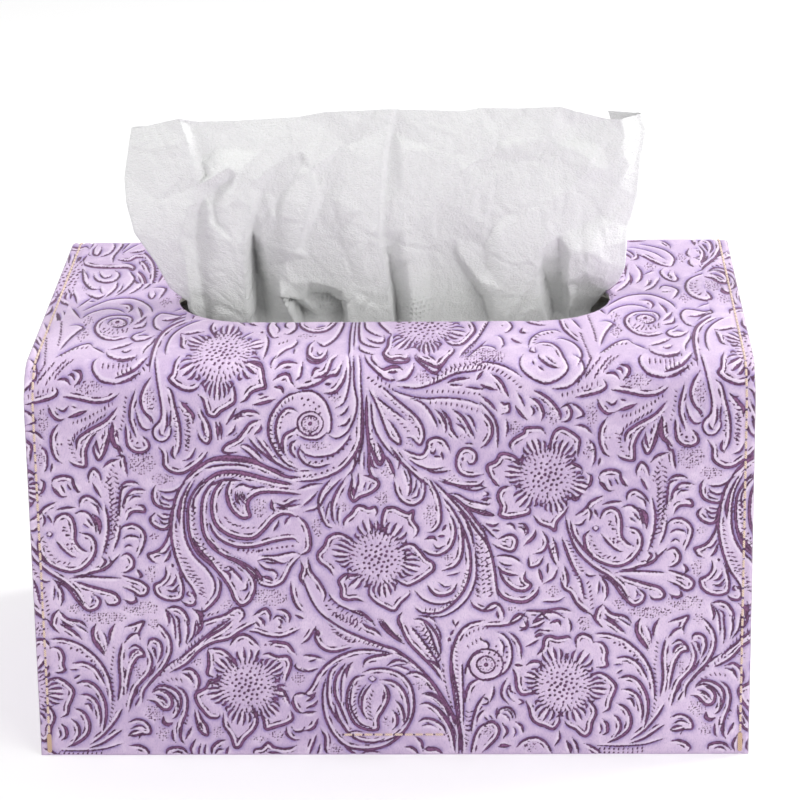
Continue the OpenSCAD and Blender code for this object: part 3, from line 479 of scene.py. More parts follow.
    -46,3, -44.5,5.5, -42,8, -40.5,11, -41,14, -42.5,16.5), (1.2, -39.5,14.5, -38.5,11, -38,8.7, -35,9.5, -32,10.5,
    -30,12, -30.5,15), (1, -30.5,16, -31.5,19, -33,21.5, -35.5,22), (1.1, -38.5,32.8, -36.5,33, -34,32, -31,32,
    -30,29.5, -31.2,26, -32,23.5), (0.9, -79,41.5, -76,42.5, -73,43.3, -74.5,40, -74.3,37.5), (0.9, -79,36.5, -77,39,
    -74.5,39.8), (1, -78,34.5, -76,35.8, -74,34.5, -73.3,32.3, -75,32, -77,29, -78.3,24, -79,20), (0.9, -77.8,31.5,
    -77,33.5, -75.5,34), (1, -72.3,35.5, -71.5,37.5, -70,37.8, -68.3,36.5, -68,33.5, -69,31, -69.5,30), (0.6,
    -71.5,35.3, -70.3,34.8, -69.7,32.5), (1, -72.3,35, -71,31, -72,27, -74,24.5, -76,22, -77.5,18, -78.5,14.5), (1,
    -69,43, -66.5,40, -65.3,37, -65.5,33, -68,28, -71.5,24, -73.8,21, -74.3,17.5), (0.8, -70,29.5, -71,27.3,
    -72.3,25.5), (1.1, -66,27, -61,29.8, -57,34, -53,36.5, -48,37.8, -45,40, -40,43), (0.9, -63.5,30.8, -60,34,
    -56,37.5, -52,41, -47.5,44), (0.8, -63,44, -62.5,38, -63,34.5), (0.8, -60.5,44, -60,40, -61,36), (0.8, -57.5,44,
    -57,41, -58,38.5), (1.1, -62.7,27.5, -60,28.3, -58,26.5, -57.3,24, -58,21.5, -59,21), (0.7, -63,27, -60.5,26,
    -58.7,23), (1.1, -71.5,21, -69,22.8, -66,22.3, -63.3,20, -63,16.5, -64.5,13, -66,12), (1, -64.5,23, -62,21,
    -61,18, -61.5,14, -63,10, -63.3,5), (1.2, -73,18.3, -70.5,17.5, -68.5,15.3, -66.5,15.3, -65.5,17.5, -66.5,20,
    -69,21.2), (0.8, -71,20, -68.5,19, -67,17), (1.1, -68.3,13, -68.5,11, -67,10, -65.5,10.8), (1.1, -59,15, -58.5,11,
    -57.5,8, -55.5,6.8, -55.5,9.5, -57,12, -58,15), (0.9, -60,9.5, -61,7.5, -62,5.5), (0.9, -65.8,9, -65.8,6,
    -65,4.5), (1, -63.8,9, -63.5,6, -62.5,4), (0.9, -79,11, -76,12, -73.5,11, -72.3,9, -72.5,7.3, -75,7, -76,5.5),
    (0.9, -79,7, -77,8.2, -75.5,8.2), (1, -79,3.5, -76,3.5, -74,2.5, -73,1, -74,0), (1.1, -68,0, -67.5,2, -65.5,2.8,
    -63,2.5, -61,0.5), (0.7, -66,1, -64,1.5, -62.5,0.3), (1, -59,5.5, -60.5,2.5, -60,0), (0.8, -57.5,4, -58.2,1.5,
    -58,0), (0.8, -56,4, -56.5,1.5, -56,0), (1.1, -54.5,0, -54,3, -52,4.8, -50,5.2), (0.8, -53.5,0, -52.5,2,
    -50.5,2.3), (1, -49.2,3.2, -50,1, -50,0), (1, -42,0, -41.5,2, -39.5,2.5, -37.5,4.3, -36,3, -33.5,2.3, -31,2.5,
    -29,3.5), (1, -38,1.2, -35.5,1, -33,0.3), (1, -32,9.5, -31.8,7, -30,5.3, -28,5.2), (0.8, -30.5,9.5, -29.5,8,
    -27.5,8, -26.5,9.5), (1.2, -37,37, -34,36.7, -31,36, -29.5,34, -28.3,32.5), (0.9, -43,40.3, -40,39.8, -37,38.7,
    -33,38.3, -30,39.3, -27,41), (1.2, -29.5,19.5, -29.8,17, -28.5,14.5, -26.5,13.7), (0.8, -29.5,19.7, -28,20.2,
    -26,20.3), (0.8, -28.5,30, -28.8,28.5, -26,27),
    # the big left scroll
    (0.9, -79,85, -76.5,87, -74,87, -72.5,86), (0.9, -78,79, -77,82, -75,84.5, -72.5,84.8, -70.5,84.3), (0.6, -76,81,
    -74.5,82.5, -72,82.5), (1.1, -77,75, -75.5,77.5, -73.5,78, -71.5,77.8, -71.8,79.5, -74,80), (0.9, -79,72,
    -77.5,73.5, -75,74, -72.5,72.5, -71.5,70, -72.5,66.5, -74,63.5), (0.6, -78,69.5, -76,70.5, -74,70), (0.6,
    -78,66.5, -76.5,67.5, -75.3,66.8), (1, -79,64, -77,64.8, -75.3,63, -75.5,60.5, -77.5,59, -79,59), (1.1, -68,86,
    -69,84, -68.8,81, -67,79.3, -64,78.7, -62,80), (0.8, -67.5,84.5, -65,83.8, -62,84.5, -59,87), (0.8, -66.5,82,
    -64,81.3, -62,82.2), (1.1, -68.5,77.5, -70,75.5, -69,73.5, -66.5,72.3, -64.5,73.3, -63,77), (0.8, -68,77,
    -66,75.5, -63.5,76), (1, -64,74, -65,70, -67,66.5, -69.5,65, -71,64.5, -70,62.5, -68,61.5), (0.8, -68,65, -66,65,
    -64.3,67.5), (1, -66.5,62, -65,63.5, -64.3,66), (1, -66,61, -66,58, -67.5,56, -69.5,54.8, -69,52, -66.5,50.3,
    -63.5,50, -61.5,51, -61,54, -61.7,57.5, -62.7,60), (0.9, -65.8,54.5, -64,55, -62.8,57.5), (0.9, -66,53.3, -64,53,
    -62.3,55), (1, -64.2,61.5, -63.8,60.5), (1, -59,88, -62,83, -63.5,77, -64,70, -63,64, -61,58, -58.5,54, -57,50.5),
    (1.2, -60.5,83, -61.5,77, -61.5,73.5), (0.8, -56.5,88, -59.3,82, -60.2,75, -59.7,69, -57.5,64, -54,60, -52,56.5,
    -51.8,53, -53.5,50), (1.1, -51,57.5, -50,55, -51,51, -53.5,48, -55.3,46.5, -56,48), (1.1, -62,50, -60,48.5,
    -58,48.7, -57.3,51), (0.8, -59.5,53, -60,51.8, -59,51.3), (1.2, -54,88, -58,82, -59,76, -58.5,70, -56.5,65,
    -52.5,61, -50,58, -47.5,54, -46,50, -44,48.3, -41.5,50, -40,54, -40.5,57, -43,60.5, -46,62.5), (1.2, -50.5,88,
    -54,83, -55,77, -54.5,71, -52,66.5, -48,63.5, -44.5,61.5, -40,57.5, -38.5,55), (1.4, -48,88, -51,84, -52,79,
    -51,74, -48,71, -44,69.5, -40,69.5, -37,72, -34,75.5, -31,77, -27,76), (1.1, -53,75, -51.5,71, -49,68.5, -45,66.8,
    -40,66.8, -34,68.5, -29,69.3, -27,68), (1.3, -46,88, -47.5,84, -47,80, -45,77, -43,75.7, -41,76.3, -41.5,79,
    -41,81.5, -38,83.5, -33,83.7, -26,83), (1, -45,84, -44.5,81, -43.5,79.5), (0.8, -45.3,85, -43,86.2, -41,85.5,
    -38,85.2), (0.7, -43.5,84, -43,82, -42,81), (0.8, -39.5,62.3, -36,63, -32,61.5, -30,62.3), (0.7, -39,64, -34,64,
    -29,65, -26.5,64.5), (0.9, -39,62, -37,60, -34,59), (1.2, -40,60.5, -38.5,57.5, -37.5,55.5), (1.2, -38,57.5,
    -36,57, -34.5,56), (0.9, -40,56, -38,54.8, -35,54.2, -32,55.5, -30.5,58, -29,61, -26.5,63.8), (1.2, -34.5,81.5,
    -34.5,79, -33.5,77.8), (0.9, -34,80.7, -31,79.5, -28,81, -26,81.5), (0.8, -32.5,78.8, -29,79.5, -26,80), (0.8,
    -31,73.5, -30,75.5, -29,76.3), (0.8, -34.3,71.5, -33,73.5, -32.5,75), (1, -49.5,59.5, -47.5,58.3, -47.3,56.3),
    (0.9, -46.5,59.5, -44.5,57.5, -43.5,55.5), (0.7, -44.5,53, -42.5,53.5, -42.3,56), (1, -29.5,56, -29.3,51.5,
    -28,48, -26,46), (1, -66.5,47.5, -65.5,44, -66,42), (1, -66.5,47.3, -64,48, -61.5,47, -60,44.5, -59.5,42), (0.8,
    -64,45.5, -62.8,44, -62.5,42), (1.1, -58.5,47.3, -56.5,45.5, -56.5,42.5), (0.9, -58,42, -54,43.8, -49,45.5,
    -46,47.5, -44,47, -43.5,45, -45,43), (1, -41,45, -39,46.5, -37,47.3, -35.8,45.5, -36,43), (0.8, -39.5,44.8,
    -38,43.6, -38.2,42.4), (1, -34,47, -31.5,46.7, -30,44.8, -30.5,42.5), (0.8, -33.5,44.2, -32.5,43, -32.8,42), (1,
    -28.5,45.3, -26,44), (1, -79,58, -76,57, -73,55.8, -71.3,54, -72,52, -74,51.5, -76,53, -79,54.5), (1.1, -79,50.5,
    -76.5,49.3, -75,50, -75.5,52), (0.9, -74.5,60, -73.5,58.5, -73.8,57.3),
    # upper left leaves
    (1.2, -61,130, -62,125, -62.5,120, -63.5,118.5, -62,116.5, -59.5,115, -57,114.5, -55,115.5, -54,117), (1.1,
    -55,113.5, -53.5,112, -52.8,109.5, -52,107.5, -50,107, -48.5,108.5, -46,110, -44.3,111.5, -44.5,115, -45.5,117.5),
    (1.1, -43,111, -41,112, -39.5,114, -37,115, -35.5,115.5, -36,118, -36.5,121.5, -37.5,124.5, -40,125.3, -42,124.3),
    (1, -68,130, -67.8,125, -67,119, -66,113, -65.5,109, -66,106, -68,103.5, -68,101, -66.5,99.5, -64.5,99.8, -63,102,
    -63,105), (1, -68.5,119, -70.5,115.5, -71.5,112, -70.5,108.5, -68.5,106.5, -68,104.8), (0.9, -73,115, -74.5,110,
    -74.7,106, -73.5,102, -73,100.5), (0.9, -72.8,107, -71.5,104, -70,103, -68.3,103.5), (1.1, -76,105, -76,101,
    -75.5,98, -73.5,96.3, -71,96.3, -69.5,97.5, -69.8,99.5, -71.5,101.5), (1, -79,99, -77,96), (0.9, -79,95, -77,95,
    -76.5,92, -76,88.5), (1.1, -66.8,98, -65.5,95.5, -65.3,92, -63,90, -60,89.7, -57,91.5, -54,94, -52.5,96.5), (0.9,
    -64.3,116, -62.5,114.3, -61.5,110, -60.3,104, -60.5,98, -62,94.5), (1, -62.5,98, -63,95.5, -62,94), (0.8,
    -60,93.5, -57.5,94.5, -56,97.5), (1.4, -60.5,112, -58,109.5, -56.5,107.5, -56.5,105), (0.8, -64,109, -64,105,
    -65,102), (1, -55.5,103, -54.5,100, -52.5,98.8, -51.5,101, -52,104.5, -53.5,107.5, -54.5,110), (0.6, -54,106,
    -53.2,102.5), (1.2, -50,105.5, -49.5,103, -49.5,100), (0.9, -49,106, -48.5,103.5, -48.5,100), (1, -44,107.5,
    -42,108.5, -39,108.5, -37,107.5), (0.7, -45,106, -43,107, -41.5,107), (0.8, -44,109.5, -46,106, -47,104.5), (1.1,
    -37,106, -40,105, -42,102.5, -44,100, -47,98.5, -48.3,96.5, -46.5,95.8, -44,96.2), (0.8, -43.5,98, -41.5,98.3,
    -39,96.5, -36.5,93.5), (1, -41,101, -39,98, -37,96, -34,93.5, -30,91, -26.5,90), (0.9, -38.7,101, -36.5,97.5,
    -33,93), (1.1, -37,104.5, -37.2,103, -39,101.5), (0.7, -47,101, -45,102.5, -44.3,104.5), (1.2, -39.5,110.3,
    -36,111, -32.5,112), (0.8, -37.7,113.3, -36,113.5), (1.1, -33,115.5, -31,115.3, -30.3,113.5), (0.9, -26,114,
    -29,113, -32,110.5, -34.5,106, -34.8,101, -33,96.5, -30,92.5, -26.5,90.7), (0.9, -26,108, -28,109.3, -30,109,
    -32,106.5, -32.8,103, -32,98.5, -29.5,94), (1, -26,104, -28,102.6, -30,101.5, -31,99, -30.3,95.5), (1, -26.5,100,
    -28.5,98.5, -28.5,96, -26.5,93.5), (0.8, -33,130, -34.3,124, -34,122), (1, -33,121.5, -31,124.5, -28.5,125,
    -26.5,124), (1, -33.5,117.5, -31,119.5, -29,119.5, -28,117, -27,115.7), (0.8, -79,118.5, -74,121, -71.5,125,
    -70,130), (0.8, -79,116.5, -75,118, -71.5,121), (0.9, -79,125.8, -76,126.5, -74,129, -73.5,132), (1.5, -60,87,
    -56,91, -51,94, -45,94.5, -40,93.5, -35,91, -30,88.5, -26,88.3), (1.6, -55,86, -50,89.5, -45,90, -40,89, -35,87.5,
    -28,86), (0.8, -54,91, -50,92, -44,92.2, -39,91), (1, -53,85.5, -48,87.5, -43,87.3),
    # top, beside the mouth
    (1, 72.7,160.5, 72.5,163.5, 73.5,166.5, 75.5,167, 77.5,165, 78,161.5, 76.5,158.8, 74,158.8), (1.2, 80,149,
    76,146.5, 72.5,148, 70,153, 68.9,159, 69.5,165, 72,169.5, 75.5,170.5, 78.5,169, 79.5,165.5, 79,161), (1, 64,167,
    66,172.5, 70,176.5, 74,176, 77,172.5), (1.1, 63.5,174.5, 67,181, 71,186, 76,187.5, 80,185, 83.5,179, 85,172.5),
    (1.4, 74,181.5, 77,181, 78.2,177, 77.5,173), (1.4, 80,178.5, 81.5,173, 82,168), (1.2, 83.5,169, 82,164, 80.5,161),
    (1, 84,165, 83.5,159.5, 82,158, 80,157), (1, 89.5,154.5, 87,158, 86,163, 86,168, 87.5,172, 90,171.5, 93,170,
    96,171.5, 99.5,172), (1.2, 88,165, 91,165.5, 94,169), (1, 90.5,161, 93,166, 96,169, 100,170.5), (0.9, 91,173.5,
    94,177, 98,178.5, 104,178.5), (1, 84.5,156, 83,153.5, 81.5,151.8, 80.8,148.5, 82.5,145.5, 85,146.5, 87.5,150.5),
    (1.1, 82.5,150, 84,151, 86,150.3), (0.9, 75,137, 79,140, 82,144), (1, 74.8,135.5, 76,131, 80,128, 84,131), (0.9,
    79,136, 80.5,135, 82,137.5), (0.8, 85.5,132, 86,138, 87.5,144, 88,150), (1.1, 88.5,122, 88.3,130, 88.3,140,
    89,150, 91,158, 95,165, 100,169), (1, 92.3,132, 91.8,140, 92.5,150, 95,158, 99,164, 104,167), (1.1, 60.5,130,
    63,135.5, 66,141, 69,143, 70.5,140), (0.9, 61,137, 62.5,147, 64.5,155, 65.5,158.5, 63.5,161, 61,160), (1,
    59.5,179, 61.5,173.5, 63.8,167), (1, 61.5,178, 63.5,184.5, 65,189), (0.9, 70.3,140, 72.5,137, 74.5,134), (1,
    71.2,219, 71,210, 69.5,202, 66,196, 62.5,189), (0.8, 72.3,210, 72.3,203, 70.5,196, 67.5,190), (1.1, 74.5,218.5,
    76,211, 75.7,204, 74,198.5), (0.8, 76,190.5, 79,195, 81,202, 81.5,205), (0.7, 76.5,195, 78.3,199.5, 78.7,203),
    (0.8, 76.7,208, 79,211, 80,211.5), (1.2, 75.5,230, 78,226, 81,220, 85,215.5), (0.7, 72,237, 76,236, 81,231,
    84.5,223), (1, 76,241, 81,238, 85,233, 87,225, 86,217.5, 85,215.5), (0.8, 83.5,243, 85.5,238), (1.1, 71.5,236,
    73.5,232, 74.5,228, 74,226), (0.9, 75.5,232, 75.5,225.5, 73,223), (1, 83,214.5, 81.8,211, 82.3,206, 84,202,
    86,200.7, 87,203, 86.5,207, 86.3,210.5), (0.7, 84.5,207.5, 85.5,204), (1, 80.5,192, 82,196, 85,194.5, 86.5,191,
    85.5,186, 84.3,182.5), (0.7, 81,189.5, 84,189.5), (1.1, 103,205, 99,209.5, 95,208.5, 90.5,203, 88.8,195,
    89.8,186.5, 93,181.5, 97,180.5, 100.5,184, 101,190, 100,196, 97.5,198.5, 95.3,195.5, 95.5,190.5), (0.9,
    92.5,209.5, 96,213, 100,211, 103,205), (1.1, 92,235.5, 91,230, 92,226), (1.3, 91.5,224, 91.3,219.5, 92.5,215.5),
    (1.6, 93,225.5, 96,226.5, 99,222, 100,217), (0.9, 94,218, 95.5,215, 99,214.5), (0.8, 93,235, 97,235, 99,231), (1,
    94.5,243, 94,239), (0.8, 96.5,239, 98,243), (1, 102,243, 102.5,236, 101.5,230), (1.2, 102,220, 103.5,212), (0.9,
    102,176, 104,170), (1, 57.5,243, 58.5,233, 61,224, 62,215, 61,207), (1, 66,243, 65.5,236, 63.5,228, 64.5,219,
    66.5,211), (0.8, 68.5,240, 68,230, 67,222),
    # top, in front of the mouth
    (1.2, -62.5,150.5, -61.8,145, -61.3,139, -59.5,136), (1.2, -53.5,162, -54,156, -52.5,150, -51,146), (1, -62.5,151,
    -60,150.7, -57,152.5, -55.5,152.5), (1, -47,164, -44.5,160, -44,158), (1, -42.5,164, -42.5,160.5, -40,158), (1.6,
    -38.8,152.5, -38.2,151), (0.8, -44.5,145, -43,149, -41,152), (1, -37,150, -36,143, -36,135, -36.5,127), (1.1,
    -36,164, -37,158, -36.5,152, -35,147, -33,147), (0.8, -34.5,164, -34.7,159, -33.5,155, -33.8,150), (1, -30,164,
    -28.7,160, -28.5,155, -30,150.5, -32,150), (0.8, -31.5,163, -32,158, -30.5,155), (1.3, -28,164, -27.5,158,
    -25.5,153.5, -22.5,151.5, -19.5,153, -17.5,158, -16.3,164), (1.2, -22.5,156, -20,157.5), (1.2, -22.5,143.5,
    -24,139, -24,131, -22,126.5, -19.5,127, -18.5,131, -18.3,135), (1.1, -22,143, -19.5,138.5, -16.5,145, -14.8,155,
    -14.3,164), (0.7, -21.5,134, -20.5,130, -19.5,133), (1, -28,145.5, -27.5,142, -28.5,138, -31,134, -33,127), (0.8,
    -28,137, -28,131), (0.9, -12,165, -12.3,150, -12,135, -12,128), (0.7, -11,165, -11,150, -10.7,135), (1.1, -10,165,
    -9.8,152, -9,143, -6.5,138.5, -3,136.5), (0.9, -8.5,165, -8,156, -6,150.5, -2.5,146.5), (1.1, -5,165, -3.5,158,
    -1.5,152.5, 0,148), (1.1, -7.5,146, -5.5,142.5, -3,141, -2,144, -2.3,148), (0.9, -9.5,140, -8.5,134, -4.5,130),
    (1.4, 0,150, -0.8,145, -1,138, -2,131, 0,126.5, 2.5,127.5, 5,126.5, 5.3,131), (1.3, 7.5,131, 8.5,126.5, 12,123,
    14.5,122.5, 17,128, 18.5,133.5, 18,137), (1.3, 15.5,143, 18,139, 21,140, 23,146, 24.5,152, 24,158, 22.5,164),
    (0.8, 20,127, 22,135, 25,144, 27,153, 29,164), (0.8, 22,126, 25,135, 28,143), (0.9, 24.5,134, 27,138, 30,136.5,
    31,133), (0.8, 30,147, 32,146.5, 33,140, 32,135), (0.9, 31,163, 34,162, 35.5,156, 34,151, 32.5,150), (0.6, 32,158,
    33,156), (1.3, 35,145, 36.5,142, 38,140), (1.2, 39,164, 40.5,160, 43,158, 45.5,157), (1.2, 38.5,155, 38,151,
    40,149.5), (1.2, 49.5,165, 50,158, 51,152, 53,146, 55,141), (0.9, 53,164, 54.5,159, 56,153), (0.9, 40,136, 41,145,
    44,151, 48,152.5, 50,150), (1.2, 42,139, 44,141, 47,140, 49,135, 50,129, 51,124), (0.8, 41,137, 40.5,133, 42,132,
    42,136), (1.1, 48,143.5, 50,144.5, 53,141, 55,135, 55.5,128, 54,122),
    # strokes within the leaves and lobes
    (0.8, -9.7,97, -10.3,92, -11.5,88.5), (0.6, -8.7,98, -9,92.5, -9,91), (0.5, -7.5,96, -7.6,90), (0.6, -9.2,89.5,
    -9.3,85.5), (1.2, -10.8,85.5, -10.6,81.8), (0.6, -4.4,98.5, -4.3,95.5, -3.4,93.5, -2.8,93, -2.4,94.5, -3.3,96.5),
    (1, -5.8,95.5, -5,91.7, -3.3,90.8), (0.7, 1.5,96, 2.8,93.3, 2.2,90.5), (0.7, 2.9,93.7, 5.5,89.5, 6,85.5, 5.5,82.8,
    4.5,82.3), (0.5, 3.4,91.5, 4.7,88.3, 5,85.5), (0.7, 8.3,85, 7.8,82.3, 6.2,81.7), (0.4, 7.5,88, 8.8,86.5, 8.7,84),
    (0.7, -14.9,80, -15.6,76, -15,73.2), (1.1, -26.7,62.5, -26,60, -26.8,57, -25.5,54), (1, 22.8,50, 23.9,47.8,
    26.7,46.4, 29.4,46.9, 31.1,48.3), (0.7, 38.3,43.6, 39.2,41.7, 37.8,40.8, 37,41.7), (1.2, 40.8,42.2, 42.2,43.3,
    44.4,43.9), (0.8, 43.9,45, 46,43.4), (0.7, 41.4,39, 42.5,40, 44,40.6), (0.5, 42.2,38, 44.5,39), (0.7, 33.9,22.8,
    33.4,20.5, 34.5,18.3, 35.6,17.5), (0.7, 36.7,18.4, 38.3,17.2, 36.6,16.3), (0.7, 26.7,19, 28,17.8), (0.7,
    25.6,16.3, 27.6,16.8, 28,17.9), (0.6, 28,13.2, 29.3,11.8), (0.6, 26.5,12.8, 28,11), (0.9, 30.5,15.6, 30.3,11.7),
    (0.6, 31.9,14.5, 33.9,14.5, 35,12.8, 35,11.2), (1.4, 30.7,2.9, 34.5,3.2), (0.7, 51,5, 52.5,2.5, 53,0.5), (0.7,
    60.8,10.6, 61.4,8.3, 60.8,7.2), (1.1, 72.2,43.9, 71.4,40, 73,37.3, 75,34.5), (1, 13.9,87, 18.3,85.8, 22.2,85.3,
    25.6,85.6, 27,87.2), (0.7, 26.7,86.7, 26.1,85.6, 27.8,84.7), (0.7, 27,83.9, 28.3,82.8, 26.7,82.2), (0.7,
    16.7,83.3, 19.4,82.8, 22.2,81.1, 25,80.3, 29.4,79.4), (1.1, 18.3,81.7, 21.1,79.4, 23.9,77.8, 27.8,76.4,
    30.3,76.1), (0.6, 21.5,80.2, 23.3,78.6, 26,78, 27.8,77.6), (0.8, 19.4,77.8, 21.4,75.5, 22.2,73.3, 23,70), (0.9,
    22.2,75.5, 24.4,72.2, 27.2,68.3, 28.3,65.5), (0.7, 24.3,66, 24.6,58, 23,52, 19.5,47.5, 15,44.8, 10,44.5), (0.7,
    36.7,72.8, 38.3,72.2, 38.9,70.5), (1.1, 49.4,69.4, 51.1,64.4, 52.8,60, 55,56), (0.7, 17.5,43.9, 18.3,41.7), (0.7,
    19.4,43.3, 18.3,41.1), (1.1, 2.8,46.1, 1.7,43.9, 2.2,40.5), (0.7, 7.2,45, 11.1,44.4, 13.3,42.2), (1, 26.5,73,
    29.5,62, 31,50), (0.9, 72,78.5, 74,74, 74,72), (0.7, 61,86.5, 62.5,84.5), (0.7, 62.8,87.5, 64,85), (0.7,
    64.6,87.8, 65.8,85.6), (0.8, 57,79, 58,76.8, 57.4,74.5), (0.7, 59,78, 60,75.5), (0.7, 53,49, 55.5,46.5, 58,45),
    (0.9, -55,92.2, -51,93.6, -46.5,93.6, -41,93, -36,91.7, -30.5,89.7), (1.1, -47.2,84, -46.7,80, -45,77.2), (0.7,
    -44.4,84.4, -43.9,82.2, -42.2,80, -41.7,79), (0.6, -43,84, -41.7,81), (0.6, -41,84, -39,85, -35.5,85.5), (0.7,
    -66.7,83.3, -66.1,82.2, -63.9,81.1), (0.7, -67,82, -66.5,80.5, -64,79.7), (0.7, -66.7,77.2, -64,76.7), (0.7,
    -67.5,75.6, -66,74, -64,74.5), (0.8, -65,73, -63.9,76.7, -62.8,80, -61.7,83.3, -59.4,87.8), (0.8, -61.7,74.4,
    -62,77.2, -60.8,81, -59.4,84.4, -57.8,87.2), (0.7, -57.2,76.7, -57.2,81, -55.4,84.4, -53.3,86.7), (1.1, -54.2,70,
    -51.7,67.2, -50,66), (1.1, -57.8,70, -56,66, -53.3,62.8, -51,60), (1.1, -48.9,64.4, -45.5,62.8, -42.2,61, -40,59,
    -38.3,56), (0.9, -48.3,61, -46.7,60, -44,56.7), (0.7, -37.8,62.2, -35.5,61.7, -31.7,61.7), (0.7, -36.7,60,
    -34.4,59.4, -33.3,57.8, -34,56.7), (0.8, -75,86, -77.8,85, -78.6,81, -78.9,76.7), (0.7, -74.4,83.3, -76.7,82.2,
    -77.5,79), (0.7, -78.3,69.4, -76.7,70.3, -73.9,70, -73.3,68.3), (0.8, -73.9,59.4, -73,57.8, -73.9,57), (1,
    -70.5,108.3, -69,106.7, -68.5,105), (0.7, -73,109.4, -72.2,105.5, -70.5,102.8), (0.7, -66.4,103.4, -66,101.6,
    -64.6,101), (0.7, -62.8,108.9, -63.3,103.3), (0.7, -54.2,105.5, -53.3,101.7, -52.2,100.5), (0.7, -46.7,105,
    -44.4,107.2, -41,108.3), (0.8, -43.3,97.8, -41,96, -38.9,93.9, -36.7,92.2), (0.9, -33.3,79, -30,78.3), (0.7,
    -65.8,53.3, -64.2,52.8, -62.8,53), (0.8, -59.4,52.8, -57.8,51.7, -57.8,50.5), (1.1, -57.5,47, -56,46, -55.8,43.5),
    (0.7, -66,47, -64.4,44.4, -63.9,41, -63.9,37.2), (0.7, -57.8,43.9, -58.3,39.4, -60.5,36), (1, -56,45.5, -56,41.7,
    -58.3,38.3), (1, -55.5,36.7, -53.3,38.9, -50,41, -46.7,43.9), (1, -39.2,44.4, -37.8,43.3, -37.5,41.9), (0.8,
    -40,43.3, -39,41.7), (0.7, -35,43.9, -33.9,45, -32.2,44.4, -31.1,42.8), (0.7, -34,41.7, -32.2,41.1), (0.6,
    -36.7,36, -32.8,36.7, -30,35.5), (0.7, -60.5,27.2, -58.9,24), (0.8, -70,18.9, -67.8,18.3, -66.7,16.7), (0.7,
    -70.5,16.7, -68.9,15.6), (0.7, -71.7,20.5, -68.9,21.7, -66,20.5, -63.9,17.2, -64.4,14.4), (1.1, -68.3,12.8,
    -68,11, -66.7,10.5, -65.5,11), (0.7, -57.8,11.7, -56.7,8.3), (0.7, -78.3,8.9, -75.5,10, -73.3,8.9), (1, -78.9,6.7,
    -76.7,6.7, -74.4,7.8), (0.8, -77.8,18.3, -76,20.5, -75.5,22.2), (0.7, -76.7,16, -75,19.4), (0.7, -73.3,22.2,
    -71,25, -67.8,28.3, -63.3,31.7), (0.7, -71,35, -70,32.8, -69.7,31), (0.7, -77.8,31, -77.2,33.3, -75.5,34.4,
    -74,33.9), (0.7, -18.9,52.8, -17.8,50.5, -15.5,48.3, -12,46.5, -8,44.5, -5,42), (0.9, -11.7,46.7, -9,46, -6,43.3,
    -5.3,41.7), (1.4, -22,40.5, -21.7,38.5), (0.8, -3.9,44.4, -1.7,41, 0.5,38.9, 3.3,36.7), (1, 1.4,44.4, 2.8,40.5,
    4.4,36.7, 7.8,32.8, 11,29.4), (0.8, 8.9,43.3, 11,39.4, 12.2,35.5, 13.9,31), (0.7, 17.2,36.7, 17.2,31, 17.8,26,
    18.9,19, 19.7,11.7), (0.8, 8.3,20, 12,19, 15,16, 17.5,11.5), (0.7, 8.3,17, 11,16.7, 14.5,13.9, 17.5,8.9, 18.5,5),
    (0.7, -11.7,23.9, -12.8,19.4, -12.5,15, -10,10.5, -6,8.9), (1.1, -2.8,22.8, -1.7,20.5, -2,17.2, -3.9,13.9), (0.8,
    5.5,21.7, 6.1,16, 5,11.7, 2.8,7.8, -2.2,5, -6.7,4.2), (1, -17.5,17.2, -16.7,12.8, -13.9,7.8, -10.5,5), (0.7,
    -13.3,29.4, -15,26, -15.5,21.7, -15.5,17), (0.8, -8.3,30, -6.7,31.7, -3.9,32.5, 0,32.8), (0.7, 1,29, 3.3,28.3,
    5.5,27.2), (0.7, -26.7,20.5, -25,19.4, -23.3,20.5), (1, -15,3.3, -13.3,1.7, -11,0.3), (0.7, -10.5,0.3, -7.8,1.4,
    -3.9,1.1), (1.5, 8.9,2.2, 12.2,1.7), (0.7, 61.9,100.3, 62.3,99.7), (0.7, 63,100.2, 63.4,99.8), (1, 73.3,101.7,
    73.6,98.9, 74.4,96.7), (0.7, 76.7,102.8, 75.5,97.8, 74.4,95.5), (0.9, 78.3,106.7, 78.3,101.7, 80,97.2, 81,95),
    (0.9, 66,89.4, 66.7,86.7, 67.8,85), (0.7, 71,82.2, 73.3,80.5, 74,77.8), (0.7, 70,77.2, 72.2,74.4), (0.8, 80,75.5,
    79.4,71, 77.8,66.7), (1, 74.4,65, 75.5,63.5, 74,61.5), (0.8, 76.5,65, 77,63, 75.5,61), (1, 70,60, 75,61,
    78.3,63.9),
]
